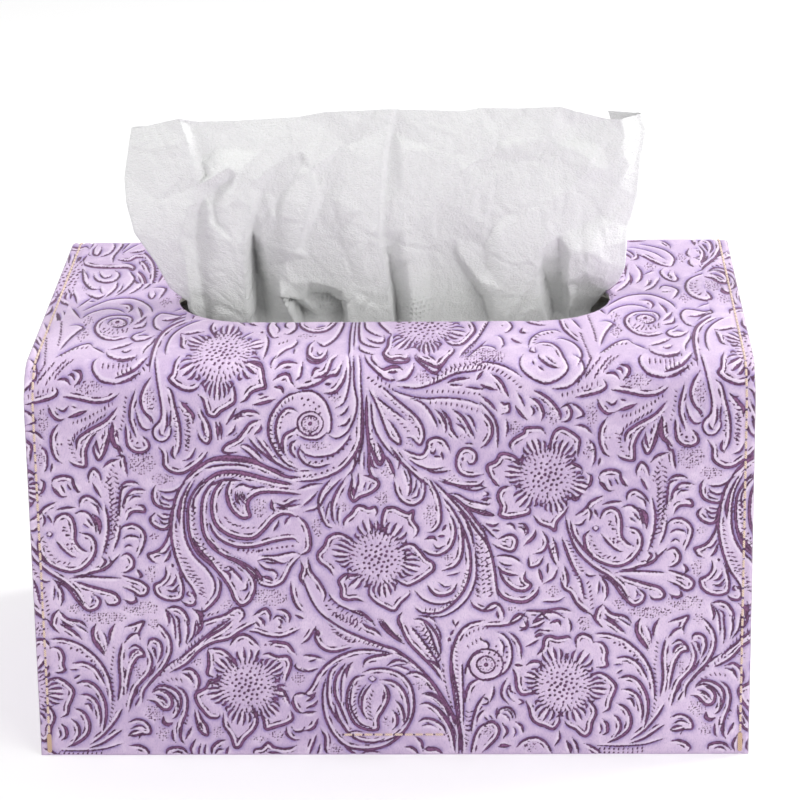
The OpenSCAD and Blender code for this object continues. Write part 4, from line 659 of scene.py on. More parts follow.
farLines = [        # cut lines that only the far corners of the top show
    (1, -97,242.8, -97.7,239, -97.3,233.5, -95.8,232, -95.2,236, -95.4,241), (0.8, -99.2,249, -98.5,244, -99.2,239,
    -98.8,233.5, -97.7,231), (0.8, -92.7,247.4, -91.3,242.8, -91.5,236.6, -92.7,232.8, -95,229.7), (1, -89.6,249.7,
    -88.8,242.8, -89.6,236.6, -90.4,230.5, -90,223.5), (0.8, -85.8,249.7, -87.3,243.5, -88.5,236.6), (0.8,
    -82.7,245.5, -85.4,241.2, -87.7,235, -87.7,232), (0.9, -80.4,239, -82.7,235.8, -85.8,234.3), (1.2, -77.3,229,
    -81.2,229.7, -83.5,229, -85,225.8, -88.8,226.6), (1.5, -75,220.5, -78.8,220.5, -81.2,222.8, -82,225.8), (1.4,
    -100.4,225, -98,221.2, -95,219, -89.6,218.2, -85,218.2, -83,215.8, -82.7,219, -84.2,222, -87.3,223.5), (1,
    -100,221, -98.8,215.8, -98,209.7, -97,203.5, -95,198, -93.5,195.8, -91.2,195.8), (1.1, -95,212, -94.2,208,
    -92.7,204.3, -89.6,202.4, -87.3,205, -86.5,209, -87,212.8, -88.5,215), (0.7, -93.5,215, -92.3,209.7, -90.8,207.4,
    -89.2,209, -89.2,212), (1.1, -84.2,215.8, -82.7,211.2, -81.5,206.6, -82,200.5, -83.5,194.3, -85.8,188), (0.9,
    -86.5,204.3, -86.2,198, -87,192.8, -88.8,186.6), (0.6, -84.6,201.2, -84.6,195.8, -85.8,190.5), (0.8, -80.4,205,
    -78.5,200.5, -79.6,195, -82,189.7), (1.1, -75.8,214.3, -76.2,209.7, -74.6,205, -71.5,204.3, -71.2,208), (0.8,
    -76.5,206.6, -76.2,200.5, -78,194.3), (1.1, -75,196.6, -72.7,197.4, -70.8,195.8, -71.2,190.5, -72,185), (0.8,
    -75.8,193.5, -75.4,188, -74.2,185.8, -73.5,189.7, -74.2,193.5), (0.9, -100.4,200.5, -99.6,194.3, -98,188,
    -96.5,180.5), (0.9, -95,191.2, -92.7,188, -90.4,186.6, -88.8,190.5), (1, -93.5,183.5, -91.2,182.8), (0.6,
    -98.5,216.6, -96.5,209.7, -95.8,205), (0.7, -91.5,199, -90.8,194.3, -89.6,190.5), (1.4, 72.3,244, 75.8,244.7,
    79.6,245.5), (0.8, 79.2,253.5, 79.2,250.5), (0.8, 75.8,249, 78,252, 79.6,254.3), (0.8, 86.5,254.3, 87.3,249.7),
    (0.8, 84.2,247.4, 85,249.3), (1, 82.7,245.8, 85,242.8, 86.2,239, 86.2,235.8), (0.9, 91.5,254.3, 92,250.5), (1,
    98,258.2, 96.5,250.5, 95.8,244.3, 95.8,241), (1, 94.2,249, 93.6,244.3, 94.2,239), (1.1, 99.6,244.3, 97.3,239.7,
    96.5,236), (1.4, 71.2,231, 72.7,228, 73.5,225), (1.1, 77,228, 79.6,222.8, 82.7,218), (1.2, 72.3,209.7, 72.7,203.5,
    72,196.6), (1, 72,219, 71.2,212.8, 70.4,203.5), (1.2, 67.3,198.2, 65,192), (1.6, 93.5,225, 96.5,221.2,
    98.8,216.6), (1.1, 94.2,233.5, 95.8,231.2, 96.5,229), (1, 101,236.6, 98.8,235, 100.4,229.7), (1, 100,195.8,
    100.4,189, 99.6,182), (0.6, 85,212, 84.2,206.6, 85.8,201.2), (0.9, 78,202, 78,196.6),
]
dashRows = [        # pitch, length, lean, then points
    (1.3, 1.1, 60, -6.5,119, -4,116.5, -1,114.5), (1.3, 1.1, -60, -4,118.7, -1,116.5, 1.5,114.2), (1.3, 1.2, 60,
    11,116, 16,119.6, 21,121.6, 27,122), (1.4, 1.2, -60, 12,117.5, 16,121, 21,123.2, 26,123.6), (1.5, 0.9, 70, 10,114,
    18,113.9, 27,113), (1.5, 1.1, 90, 11,110.9, 18,110.3, 26,108.4), (1.5, 1, 50, -2,111, 1.5,107, 5.5,102), (1.5, 1,
    50, 0,112, 4,108, 8,103), (1.4, 1.2, 55, 24.6,71, 25,62, 25,52), (1.4, 1.2, -55, 26.2,71, 26.4,62, 26.8,52), (1.3,
    1.2, 80, 22.2,60, 20.6,54.2, 17.8,50, 13.8,47, 9.3,46.9), (1.4, 1.6, 60, 6,41, 9,36.5, 12,31.5), (1.4, 1.6, -55,
    8.6,41.3, 11.3,36, 13.7,30.5), (1.3, 1.8, 50, -5.8,21.5, -7.3,17, -7,11.5), (1.3, 1.3, -50, -9.8,23.3, -11.6,18,
    -11,11.8), (1.4, 1.3, 55, 18.6,37, 18.7,28, 19,19, 19.5,10), (1.4, 1.4, 60, 21,38, 24,40.3, 28,41.2), (1.5, 1.5,
    70, 21.4,34.5, 23.5,36.2, 26.5,37.9), (1.5, 1.4, 60, 21.6,15, 21.4,4), (1.5, 1.2, -60, 23,15, 22,8), (1.5, 1.4,
    40, -18.3,41, -15,39, -11.3,36.6), (1.5, 1.5, 80, -18,46, -14,43.5, -9,40.5), (1.4, 1.1, 70, -12,37.5, -8,36.5,
    -3,34.6), (1.4, 1.2, 55, 77.6,37, 76.8,28, 77.3,20, 76,12), (1.4, 1, 65, 60,2.2, 67,2, 74,2.4), (1.4, 1, 65, 60,1,
    67,0.8, 74,1.2), (1.3, 1.3, 55, 50.8,69, 53.5,63, 56,58), (1.3, 1.3, 55, 52.5,59.5, 55,54.5, 56.5,50), (1.4, 1.3,
    -55, 57,56, 58,51, 58.5,46), (1.4, 1.4, 50, 77,88, 77.3,80, 76.8,74, 75.5,66), (1.4, 1.3, -50, 79,84, 78.7,76,
    77.5,70), (1.5, 1.3, 50, 57.5,70.5, 59,66.5, 62,63.5, 66,62.7), (1.4, 1.1, 50, 63,75, 65,71.5, 66.3,68), (1.5,
    1.2, 60, 73,66, 71,62), (1.4, 1.2, 60, 27.5,64, 28.2,57, 29.5,51), (1.3, 1.2, 60, 26.5,122, 31,120.6, 35,117.6,
    38.6,114.3), (1.5, 1.2, 75, 48.8,112.6, 52,113.3, 57,115.5, 61,116.3), (1.4, 1.6, 20, 56,118, 58.5,122, 61,127),
    (1.4, 1.6, 20, 58.5,117.5, 61,122, 64,128), (1.4, 1.6, 20, 61,119.5, 63.5,124, 66.5,129), (1.4, 1.6, 20,
    53.8,115.8, 56.5,121, 58.5,128), (1.3, 1.4, 60, 66,106.3, 70,107.5, 75,110.3, 79,113), (1.4, 1.8, 30, 66,99,
    67.5,103, 71,105.5, 76,108.8), (1.4, 1.3, 55, 65,102, 66,98.5, 67,95.5), (1.4, 1.3, 60, 78.5,94, 76.7,90,
    75.5,86), (1.5, 1.6, 90, 74,124.5, 80,124.5), (1.4, 1.3, 60, -62.5,72.5, -62,66, -60,60, -57.5,56, -55.8,51.5),
    (1.5, 1.7, 60, -60.8,64, -58.5,59.5, -55.8,55, -55,51), (1.4, 1.1, 50, -57.6,80, -57.6,74, -56,67.5, -51.5,62.6,
    -47,59), (1.2, 1.4, 80, -58.6,111.5, -57.8,107, -57.8,102, -58.5,96.5), (1.5, 1.1, 80, -59.5,112, -61,108,
    -62,100), (1.4, 1.2, 60, -34,108, -34,101, -31.5,95), (1.3, 1.2, 60, -27,112.6, -30,110.8, -32.5,107.3), (1.2,
    1.3, 45, -51,88.4, -46.5,89.3, -41.5,88.4), (1.4, 1.4, 50, -66,27.8, -63,31, -59.5,35.5, -55.5,39), (1.4, 1.4,
    -60, -70,23, -66,24.8, -62,24.5), (1.4, 1.2, 50, -60.8,14, -62,10), (1.3, 1.3, 90, -79,122.8, -74.5,123.8), (1.3,
    1.3, 90, -79,119.8, -74,122), (1.4, 1.3, 80, -75,117.5, -71,121.5, -69.5,126), (1.6, 1.3, 50, -20,49, -17,45.5,
    -12,42.3), (1.6, 1.5, 80, -18.8,50.5, -14.5,46.5, -9,43), (1.4, 1.2, 60, -75.5,113.5, -76.3,108, -77.5,103), (1.4,
    1.4, 30, -56,44.8, -51,46.3), (1.6, 1.2, 20, -44,72.6, -39.5,72.8), (1.6, 2, 25, -48.5,76.5, -46.5,74, -44,73.3),
    (1.3, 1.4, 40, 21.5,130, 24.5,141, 28,160), (1.3, 1.3, -60, 41.5,139, 43,147, 48,150.5), (1.4, 1.4, 75, 71,157.5,
    74.5,156, 79,157), (1.4, 1.5, 75, 71.5,154.5, 75,153, 79,155), (1.3, 1.3, 60, 61.5,131, 65,138, 69,139.5), (1.2,
    1.4, 30, 55.5,150, 57,135, 58,125), (1.2, 1.4, 30, 58,168, 59.5,152, 60,140), (1.4, 1.2, 40, 64,190, 67,186),
    (1.3, 1.2, 50, -33.5,140, -30,144), (1.3, 1.2, 80, 76,130.5, 80,127.5, 85,129), (1.3, 1.2, 60, 91,200, 90.5,192,
    93,185), (2, 1.9, 62, 25.3,68, 25.4,60, 25,51), (2, 1.9, -62, 27.8,66, 28.2,58, 28.6,51), (1.5, 2, 60, -58.3,108,
    -58.2,103, -58.6,98), (1.7, 1.8, -50, -53,40.5, -49,43.5, -46.5,45.5), (1.1, 2.6, 110, -17,45.5, -13.5,44,
    -10,42.3), (1.6, 2.2, 20, -17.5,40, -15,38.2, -12.5,36.5), (1.5, 1.7, 55, 7,42, 9.5,38, 11.5,34), (1.7, 1.6, 20,
    14.7,30, 15,25, 16,20, 17.5,15), (1.6, 2.2, -50, 77,90, 77.6,84, 77.8,79, 76.8,73, 75.6,68), (1.6, 2.2, 50,
    78.5,92, 79.2,88, 79.5,82, 79,76, 77.5,71),
]
dotRows = [        # pitch, size, then points
    (1.5, 0.7, -43,64.6, -36,66, -28,67.2), (1.5, 0.7, -45.5,65.8, -38,65.5), (1.7, 0.7, -56.8,80, -57,73, -54,66),
    (1.8, 0.7, -26,112.5, -22.5,111.5, -19,109), (1.8, 0.6, -25.5,110.5, -22,109.8, -19.5,107.5), (1.7, 0.7,
    -25.5,101.6, -20.5,101.6), (1.8, 0.8, -26,93, -20,93.2, -14,96.5, -10.5,101), (1.8, 0.8, -26,88.5, -20,89.5,
    -15,92), (1.8, 0.8, 64,36.6, 68,34.8, 71.5,31.3, 74,26.5), (1.6, 0.7, 30,36, 31,32, 30.5,28.5), (1.7, 0.7,
    33.3,36, 33.3,31, 31.5,27.5), (1.7, 0.7, 27.3,33.4, 31,32), (1.6, 0.7, -32,106, -33,101, -31.5,96), (1.6, 0.7,
    -30.5,107.5, -31.7,103), (1.8, 0.7, -38.5,36, -34.5,35.6), (1.8, 0.7, -69.5,25.5, -66.5,28.5), (1.6, 0.7, 62.8,74,
    64.5,71.5), (1.6, 0.8, 64,69.5, 66,67.2), (1.5, 0.8, -75,100, -72.5,98.8), (1.7, 0.6, -6,102.5, -4.5,98), (1.7,
    0.6, 93,203, 91.8,195, 93.5,187.5, 98,184), (1.7, 0.6, 66,163, 66,157, 68,150),
]
stipples = [        # middle and reach of each stippled patch
    (-2.5, 82, 2, 2.2), (-13.5, 79, 1.2, 1.8), (11.3, 76.5, 1.6, 3.2), (16.5, 63, 1.8, 1.2), (-21.5, 73, 1.5, 3),
    (-21, 98, 3.6, 1.3), (-1, 90, 1.6, 1.8), (7.5, 22.8, 1.6, 1.4), (-2.4, 11, 1.2, 1.6), (-17.5, 2, 2, 1.5), (9.5,
    118.5, 2.2, 1.6), (6.5, 98.6, 1.6, 0.9), (56, 42.5, 2, 2.2), (66.5, 48.8, 2.2, 1.6), (75, 46, 6, 1.8), (47, 52.5,
    2, 1.6), (35, 46.8, 1.6, 0.9), (36, 103, 2, 2.6), (47, 107, 1.8, 3), (57.7, 107, 1.8, 3.4), (71, 117, 4, 1.7),
    (57, 96, 1.2, 3.2), (27.5, 80, 1.4, 0.8), (40, 3, 2.2, 1.6), (27.5, 8, 1.6, 1.6), (-36, 51, 5.5, 2.4), (-48, 48.5,
    2, 1.6), (-70.5, 58.8, 1.4, 2.6), (-69, 70, 1.2, 1.2), (-74, 47.8, 5.4, 2.2), (-71, 14, 2.4, 2.6), (-68.5, 7.5,
    1.8, 2.2), (-52.5, 8, 1.6, 1.6), (-40, 5.6, 2.4, 1), (-34.5, 6.8, 2.4, 1.4), (-28, 25, 1.7, 2), (-58, 30.6, 1.3,
    1), (-75.5, 28, 1, 2.4), (-72, 93, 4, 3.4), (-66, 88, 3.4, 1.6), (-68.6, 112, 1.6, 3.4), (-38, 79, 2.2, 2.8),
    (-15.5, 112.2, 1.6, 1.2), (-70, 42.5, 1.6, 1.6), (27, 129, 6, 3), (17.5, 87.8, 1.6, 0.8), (20.5, 100.5, 0.8, 0.8),
    (-44, 101.3, 0.8, 0.8), (66, 152, 1.6, 3), (66.5, 165, 1.2, 2), (79, 216, 1.6, 2), (88, 183, 1.6, 2), (29.5,
    126.5, 3, 1.4), (-25, 148, 2.4, 1), (89, 225, 1.2, 3), (62, 199, 1.2, 2),
]
dashFans = [        # middle, aim, spread, first, last, count
    (-4, 63, 105, 44, 8, 12.8, 6), (-4, 63, 58, 44, 8, 12.8, 6), (-4, 63, -12, 46, 7.5, 12.6, 7), (-4, 63, -80, 44, 8,
    12.4, 7), (-4, 63, -135, 36, 8, 12.5, 5), (-4, 63, 168, 42, 8, 14, 7), (50, 22.5, 108, 40, 8, 13, 6), (50, 22.5,
    58, 44, 8, 13, 6), (50, 22.5, -5, 44, 8, 13, 7), (50, 22.5, -68, 40, 8, 12.6, 6), (50, 22.5, -122, 40, 8, 12.8,
    6), (50, 22.5, 166, 44, 8, 12, 7), (45.3, 88.2, 112, 44, 8, 12.5, 7), (45.3, 88.2, 60, 44, 8, 12.5, 7), (45.3,
    88.2, -20, 44, 8, 12.5, 7), (45.3, 88.2, -75, 44, 8, 12, 7), (45.3, 88.2, -135, 40, 8, 12.5, 6), (45.3, 88.2, 172,
    44, 8, 12.5, 7), (-43, 22.5, 94, 36, 8, 12.6, 5), (-43, 22.5, 136, 36, 8, 12.6, 6), (-43, 22.5, -168, 44, 8, 12.6,
    7), (-43, 22.5, -106, 44, 8, 13, 7), (-43, 22.5, -50, 40, 8, 12.6, 7), (-43, 22.5, -8, 30, 8, 12, 5), (-43, 22.5,
    38, 40, 8, 12.6, 7), (-49, 133, -150, 36, 8.5, 13, 6), (-49, 133, -92, 40, 8.5, 13.4, 8), (-49, 133, -28, 40, 8.5,
    13, 6), (-49, 133, 148, 36, 7.5, 12.5, 6), (-49, 133, 86, 36, 8, 13, 6), (-49, 133, 20, 30, 8.5, 12.5, 5), (9.5,
    158, -127, 34, 8, 13.5, 6), (9.5, 158, -82, 34, 8, 13.5, 7), (9.5, 158, -20, 40, 8, 13, 6),
]
blooms = [        # middles of the open flowers
    (-4, 63), (50, 22.5), (45.3, 88.2), (-43, 22.5), (-49, 133), (9.5, 158),
]
rings = [        # middle, size, width
    (-22.8, 104.7, 3.7, 0.7), (-22.8, 104.7, 2.5, 0.5), (27.3, 29.3, 2.7, 0.7), (27.3, 29.3, 5, 0.8), (97.3, 193.8,
    2.3, 0.7),
]
eyes = [        # middles
    (-22.8, 104.7), (27.3, 29.3), (75.2, 163.5), (97.3, 193.8),
]


# how the tooling is pressed: all of it in millimetres, u across and s up the front, over the top and down the back

cover = {"long": 210, "deep": 140, "high": 120, "fold": 12, "mouthLong": 132, "mouthWide": 48,
         "seamInset": 2.6, "seamFoot": 7, "frontRow": 6.5, "rearRow": 11, "rowHalf": 15, "pitch": 3, "needle": 0.3}
press = {"step": 0.35, "backStep": 0.7, "repeat": 160.7, "askew": 0.027, "askewTo": 115, "climb": 1.2,
         "squeeze": 0.48, "squeezeFrom": 112, "squeezeTo": 124, "thinOnTop": 0.75, "farFrom": 184,
         "shift": (0.15, -0.35), "restart": 255}
hiddenTop = {"shift": (8, 140), "from": 163, "start": 62, "period": 157, "wide": 120,
             "spotsFrom": 200, "spots": ((-71.5, 9.5), (64, 7))}        # where nothing of the top is seen
blade = {"half": 0.41, "tail": 0.25, "tailLong": 2.2, "tailShare": 0.35, "belly": 0.4, "bellyFrom": 6, "reach": 3.2,
         "haloFade": 0.55, "rimAt": 0.42, "rimWide": 0.14}
echo = {"at": 0.95, "half": 0.13, "from": 7, "width": 0.85, "wave": 0.12, "clear": 0.42}        # second lines
stamp = {"dot": 0.06, "dashWidth": 0.5, "across": 0.8, "up": 0.75, "scatter": 0.22, "size": 0.34}
flower = {"rays": ((38, 6.9, 8.4, 0.6, 0), (30, 5.7, 6.5, 0.5, 0.1)), "seeds": 38, "apart": 0.86, "turn": 2.39996,
          "seed": 1.05, "smaller": 0.05}
eye = {"dot": 1.4, "rays": (18, 1.3, 2.0, 0.25)}
sewing = {"seamReach": 1.7, "rowReach": 1.5, "beside": 0.5, "low": 0.08, "flat": 0.6}
leather = {"rise": 0.42, "bevel": 0.2, "rim": 0.05, "swell": 0.05, "swellFade": 1.4, "cut": 0.36, "cutFrom": 0.32,
           "cutWide": 0.5, "lowest": 0.06, "highest": 0.9, "edge": -0.12}
foldArc = math.pi / 2 * cover["fold"]
frontTop = cover["high"] - cover["fold"]
topStart = frontTop + foldArc
topEnd = topStart + cover["deep"] - 2 * cover["fold"]
stripEnd = topEnd + foldArc + frontTop
mouthRow = topStart + cover["deep"] / 2 - cover["fold"]
mouthHalf = (cover["mouthLong"] - cover["mouthWide"]) / 2
seamAcross = cover["long"] / 2 - cover["seamInset"]
strapRows = (cover["frontRow"], stripEnd - cover["rearRow"])


def patternRow(s):        # the pattern is drawn out on the top, as the photograph shows it
    s = np.asarray(s, float)
    low, high, k = press["squeezeFrom"], press["squeezeTo"], press["squeeze"]
    bend = s - (1 - k) * (s - low) ** 2 / (2 * (high - low))
    top = high - (1 - k) * (high - low) / 2 + (s - high) * k
    return np.where(s < low, s, np.where(s < high, bend, top))


def smoothPath(points, step=0.5):        # a smooth line through given points
    p = np.array(points, float).reshape(-1, 2)
    q = np.vstack([2 * p[0] - p[1], p, 2 * p[-1] - p[-2]])
    out = []
    for i in range(1, len(q) - 2):
        count = max(1, int(np.hypot(*(q[i + 1] - q[i])) / step))
        t = (np.arange(count) / count)[:, None]
        a, b, c, d = q[i - 1:i + 3]
        square, cube = 2 * a - 5 * b + 4 * c - d, 3 * b - a - 3 * c + d
        out.append(0.5 * (2 * b + (c - a) * t + square * t ** 2 + cube * t ** 3))
    out.append(p[-1:])
    return np.vstack(out)


def lengthsAlong(path):
    return np.r_[0, np.cumsum(np.hypot(*np.diff(path, axis=0).T))]


def pointing(angle):
    return np.array([math.cos(angle), math.sin(angle)])


def besidePath(path, run, x, y):        # squared distance to a path, share of its length and signed side of it
    best, along, side = np.full(x.shape, 1e9), np.zeros(x.shape), np.zeros(x.shape)
    for n in range(len(path) - 1):
        a, d = path[n], path[n + 1] - path[n]
        length = np.hypot(*d) + 1e-9
        d = d / length
        t = np.clip((x - a[0]) * d[0] + (y - a[1]) * d[1], 0, length)
        dx, dy = x - a[0] - t * d[0], y - a[1] - t * d[1]
        gap = dx * dx + dy * dy
        closer = gap < best
        best[closer] = gap[closer]
        along[closer] = ((run[n] + t) / run[-1])[closer]
        side[closer] = (d[0] * dy - d[1] * dx)[closer]
    return best, along, side


class Hide:        # the flat piece of leather under the stamp
    def __init__(self):
        self.across, self.up = gridU, patternRow(gridS)
        shape = (len(self.up), len(self.across))
        self.line, self.echo = np.full(shape, 9.0), np.full(shape, 9.0)
        self.halo, self.rimHighlight = np.zeros(shape), np.zeros(shape)

    def stroke(self, path, width, tapered=True, bevelled=True):
        run = lengthsAlong(path)
        long = run[-1]
        if long < 0.05:
            return
        reach = blade["reach"] if bevelled else blade["reach"] / 2
        i0, i1 = np.searchsorted(self.across, [path[:, 0].min() - reach, path[:, 0].max() + reach])
        j0, j1 = np.searchsorted(self.up, [path[:, 1].min() - reach, path[:, 1].max() + reach])
        if i1 <= i0 or j1 <= j0:
            return
        best, along, side = besidePath(path, run, *np.meshgrid(self.across[i0:i1], self.up[j0:j1]))
        ends, body = np.ones(best.shape), 1
        if tapered:
            tail = min(blade["tailLong"], long * blade["tailShare"])
            ends = np.clip(np.minimum(along, 1 - along) * long / tail, 0, 1)
        if long > blade["bellyFrom"]:
            body = 1 - blade["belly"] + blade["belly"] * np.clip(np.sin(np.pi * along), 0, 1) ** 0.7
        edge = np.sqrt(best) - width * blade["half"] * (blade["tail"] + (1 - blade["tail"]) * ends) * body
        spot = (slice(j0, j1), slice(i0, i1))
        self.line[spot] = np.minimum(self.line[spot], edge)
        if bevelled:
            outer = self.bevel(spot, path, edge, ends, side)
            if long > echo["from"] and width > echo["width"]:        # a second line inside the longer cuts
                wavy = echo["wave"] * np.sin(along * long * 1.1)
                thin = np.abs(edge - echo["at"]) - echo["half"] + 0.5 * (1 - ends) + 2 * outer + wavy
                self.echo[spot] = np.minimum(self.echo[spot], thin)

    def bevel(self, spot, path, edge, ends, side):        # the beveller works on the outer side of each curve; this map also sets the painted violet shade there, and the rim map sets the painted highlight
        step = np.diff(path, axis=0)
        turned = np.unwrap(np.arctan2(step[:, 1], step[:, 0]))
        outer = np.where(side * (turned[-1] - turned[0]) < 0, 1.0, 0.0)
        away = np.clip(edge, 0, 9)
        halo = outer * np.exp(-away / blade["haloFade"]) * np.clip(ends * 1.3, 0, 1)
        rimHighlight = (1 - outer) * np.exp(-(away - blade["rimAt"]) ** 2 / blade["rimWide"]) * ends
        self.halo[spot] = np.maximum(self.halo[spot], halo)
        self.rimHighlight[spot] = np.maximum(self.rimHighlight[spot], rimHighlight)
        return outer

    def dot(self, spot, size):
        self.stroke(np.array([spot - stamp["dot"], spot + stamp["dot"]]), size, False, False)

    def dash(self, middle, way, length, width):
        self.stroke(np.array([middle - way * length / 2, middle + way * length / 2]), width, True, False)

    def spokes(self, middle, count, first, last, width, shift=0.0):
        for i in range(count):
            arm = pointing(i * 2 * math.pi / count + shift)
            ends = (middle + arm * (first + 0.35 * (i % 2)), middle + arm * (last + 0.25 * (i * 7 % 3)))
            self.stroke(np.array(ends), width, True, False)

    def along(self, points, pitch):
        path = smoothPath(points, 0.2)
        run = lengthsAlong(path)
        for at in np.arange(pitch / 2, run[-1], pitch):
            i = min(np.searchsorted(run, at), len(path) - 2)
            yield path[i], path[i + 1] - path[i]

    def stipple(self, middle, wide, high, dice):
        for i in np.arange(-wide, wide + 0.01, stamp["across"]):
            for j in np.arange(-high, high + 0.01, stamp["up"]):
                if (i / wide) ** 2 + (j / high) ** 2 < 1.1:
                    loose = dice.uniform(-stamp["scatter"], stamp["scatter"], 2)
                    self.dot(middle + [i, j] + loose, stamp["size"])

    def dashFan(self, middle, aim, spread, first, last, count):        # the cuts that spread on a petal
        for i in range(count):
            x, t = i / (count - 1) - 0.5, np.linspace(0, 1, 6)
            out = first + 0.6 * abs(x) + (last - 10.4 * x * x - first - 0.6 * abs(x)) * t
            bent = math.radians(aim + spread * x) + 0.2 * x * np.sin(t * 3)
            self.stroke(middle + np.stack([out * np.cos(bent), out * np.sin(bent)], 1), 0.9)

    def bloom(self, middle):        # the seeds and the two rings of rays of an open flower
        for rays in flower["rays"]:
            self.spokes(middle, *rays)
        for i in range(flower["seeds"]):
            out = flower["apart"] * math.sqrt(i + 0.3)
            self.dot(middle + out * pointing(i * flower["turn"]), flower["seed"] - flower["smaller"] * out)

    def tool(self, repeat, shift):        # one repeat of the pattern, the plate sits a little askew
        dice = np.random.RandomState(3)

        def laid(points):
            p = np.array(points, float).reshape(-1, 2)
            p[:, 0] += repeat * (press["repeat"] - press["askew"] * np.minimum(p[:, 1], press["askewTo"])) + shift[0]
            p[:, 1] = patternRow(p[:, 1] + repeat * press["climb"]) + shift[1]
            return p
        for width, *points in cutLines + (farLines if repeat == 0 else []):
            if repeat == 0 or points[1] < press["farFrom"]:
                thin = press["thinOnTop"] if points[1] > press["squeezeTo"] else 1
                self.stroke(smoothPath(laid(points)), width * thin)
        for pitch, length, lean, *points in dashRows:
            for spot, way in self.along(laid(points), pitch):
                way = pointing(math.atan2(way[1], way[0]) + math.radians(lean))
                self.dash(spot, way, length, stamp["dashWidth"])
        for pitch, size, *points in dotRows:
            for spot, way in self.along(laid(points), pitch):
                self.dot(spot, size)
        for u, s, wide, high in stipples:
            self.stipple(laid([u, s])[0], wide, high, dice)
        for u, s, *fan in dashFans:
            self.dashFan(laid([u, s])[0], *fan)
        for middle in blooms:
            self.bloom(laid(middle)[0])
        for u, s, size, width in rings:
            t = np.linspace(0, 2 * math.pi, 25)
            self.stroke(laid([u, s])[0] + size * np.stack([np.cos(t), np.sin(t)], 1), width, False, False)
        for middle in eyes:
            self.dot(laid(middle)[0], eye["dot"])
            self.spokes(laid(middle)[0], *eye["rays"])

    def maps(self):
        return self.line, self.halo, self.rimHighlight

    def take(self, u, s):        # the three maps at other places
        i = np.interp(u, self.across, np.arange(len(self.across)))
        j = np.interp(s, self.up, np.arange(len(self.up)))
        i0, j0 = np.minimum(i.astype(int), len(self.across) - 2), np.minimum(j.astype(int), len(self.up) - 2)
        x, y = i - i0, j - j0
        return [m[j0, i0] * (1 - x) * (1 - y) + m[j0, i0 + 1] * x * (1 - y) + m[j0 + 1, i0] * (1 - x) * y
                + m[j0 + 1, i0 + 1] * x * y for m in self.maps()]


def pressed(shift):        # three repeats side by side, second lines kept clear of the other cuts
    made = Hide()
    for repeat in (-1, 0, 1):
        made.tool(repeat, shift)
    made.line = np.minimum(made.line, np.where(made.line > echo["clear"], made.echo, 9))
    return made


print("pressing the pattern")
gridU = np.linspace(-cover["long"] / 2, cover["long"] / 2, int(cover["long"] / press["step"]) + 1)
gridS = np.linspace(0, topEnd + foldArc, int(topEnd / press["step"]) + int(foldArc / press["step"]) + 1)
hide = pressed(press["shift"])
behind = pressed(hiddenTop["shift"])        # behind the mouth the front's foot starts again
u, s = np.meshgrid(gridU, gridS)
phase = (u + hiddenTop["start"]) % hiddenTop["period"]
spots = np.any([np.abs(u - at) < reach for at, reach in hiddenTop["spots"]], 0) & (s > hiddenTop["spotsFrom"])
swap = ((s > hiddenTop["from"]) & (phase > 0) & (phase < hiddenTop["wide"])) | spots
again = gridS > press["restart"]        # the rear fold starts the front's pattern again, the strip's other way up
first = np.searchsorted(gridS, gridS[again] - press["restart"])
for values, spare in zip(hide.maps(), behind.maps()):
    values[swap] = spare[swap]
    values[again] = values[first]


def relief(line, halo, rimHighlight):        # height of the leather's face over the panel
    cut = np.clip((leather["cutFrom"] - line) / leather["cutWide"], 0, 1)
    cut = cut * cut * (3 - 2 * cut)
    swell = 1 - np.exp(-np.clip(line, 0, 9) / leather["swellFade"])
    height = leather["rise"] - leather["bevel"] * halo + leather["rim"] * rimHighlight
    height = height + leather["swell"] * (swell - 0.5) - leather["cut"] * cut
    return np.clip(height, leather["lowest"], leather["highest"])


def nearRow(height, distance, reach):        # leather drawn down by a row of stitches
    pull = np.clip((reach - distance) / (reach - sewing["flat"]), 0, 1)
    pull = pull * pull * (3 - 2 * pull)
    return height * (1 - pull) + np.minimum(height, sewing["low"]) * pull


def tuck(height, inside, reach=1.1):        # the face rolls down to the raw edge
    t, low = np.clip(inside / reach, 0, 1), leather["edge"]
    return low + (height - low) * np.sqrt(1 - (1 - t) ** 2)


def wrapPlace(u, s, height):        # from the flat strip onto the wrapped panel
    fold, high, half = cover["fold"], cover["high"], cover["deep"] / 2
    front, rear = (s - frontTop) / fold, (s - topEnd) / fold
    out = fold + height
    legs = [s < frontTop, s < topStart, s < topEnd, s < topEnd + foldArc]        # beyond them is the back wall
    onTop = -(half - fold) + s - frontTop - foldArc
    y = [-half - height, -(half - fold) - out * np.cos(front), onTop, half - fold + out * np.sin(rear)]
    z = [s, frontTop + out * np.sin(front), high + height, frontTop + out * np.cos(rear)]
    return np.stack([u, np.select(legs, y, half + height), np.select(legs, z, stripEnd - s)], -1) * mm


def cutAway(mesh, gone):        # deletes the faces that are marked
    mesh.polygons.foreach_set("select", gone)
    mesh.vertices.foreach_set("select", np.zeros(len(mesh.vertices), bool))
    bpy.ops.object.mode_set(mode="EDIT")
    bpy.ops.mesh.select_mode(type="FACE")
    bpy.ops.object.mode_set(mode="OBJECT")
    mesh.polygons.foreach_set("select", gone)
    bpy.ops.object.mode_set(mode="EDIT")
    bpy.ops.mesh.delete(type="FACE")
    bpy.ops.object.mode_set(mode="OBJECT")


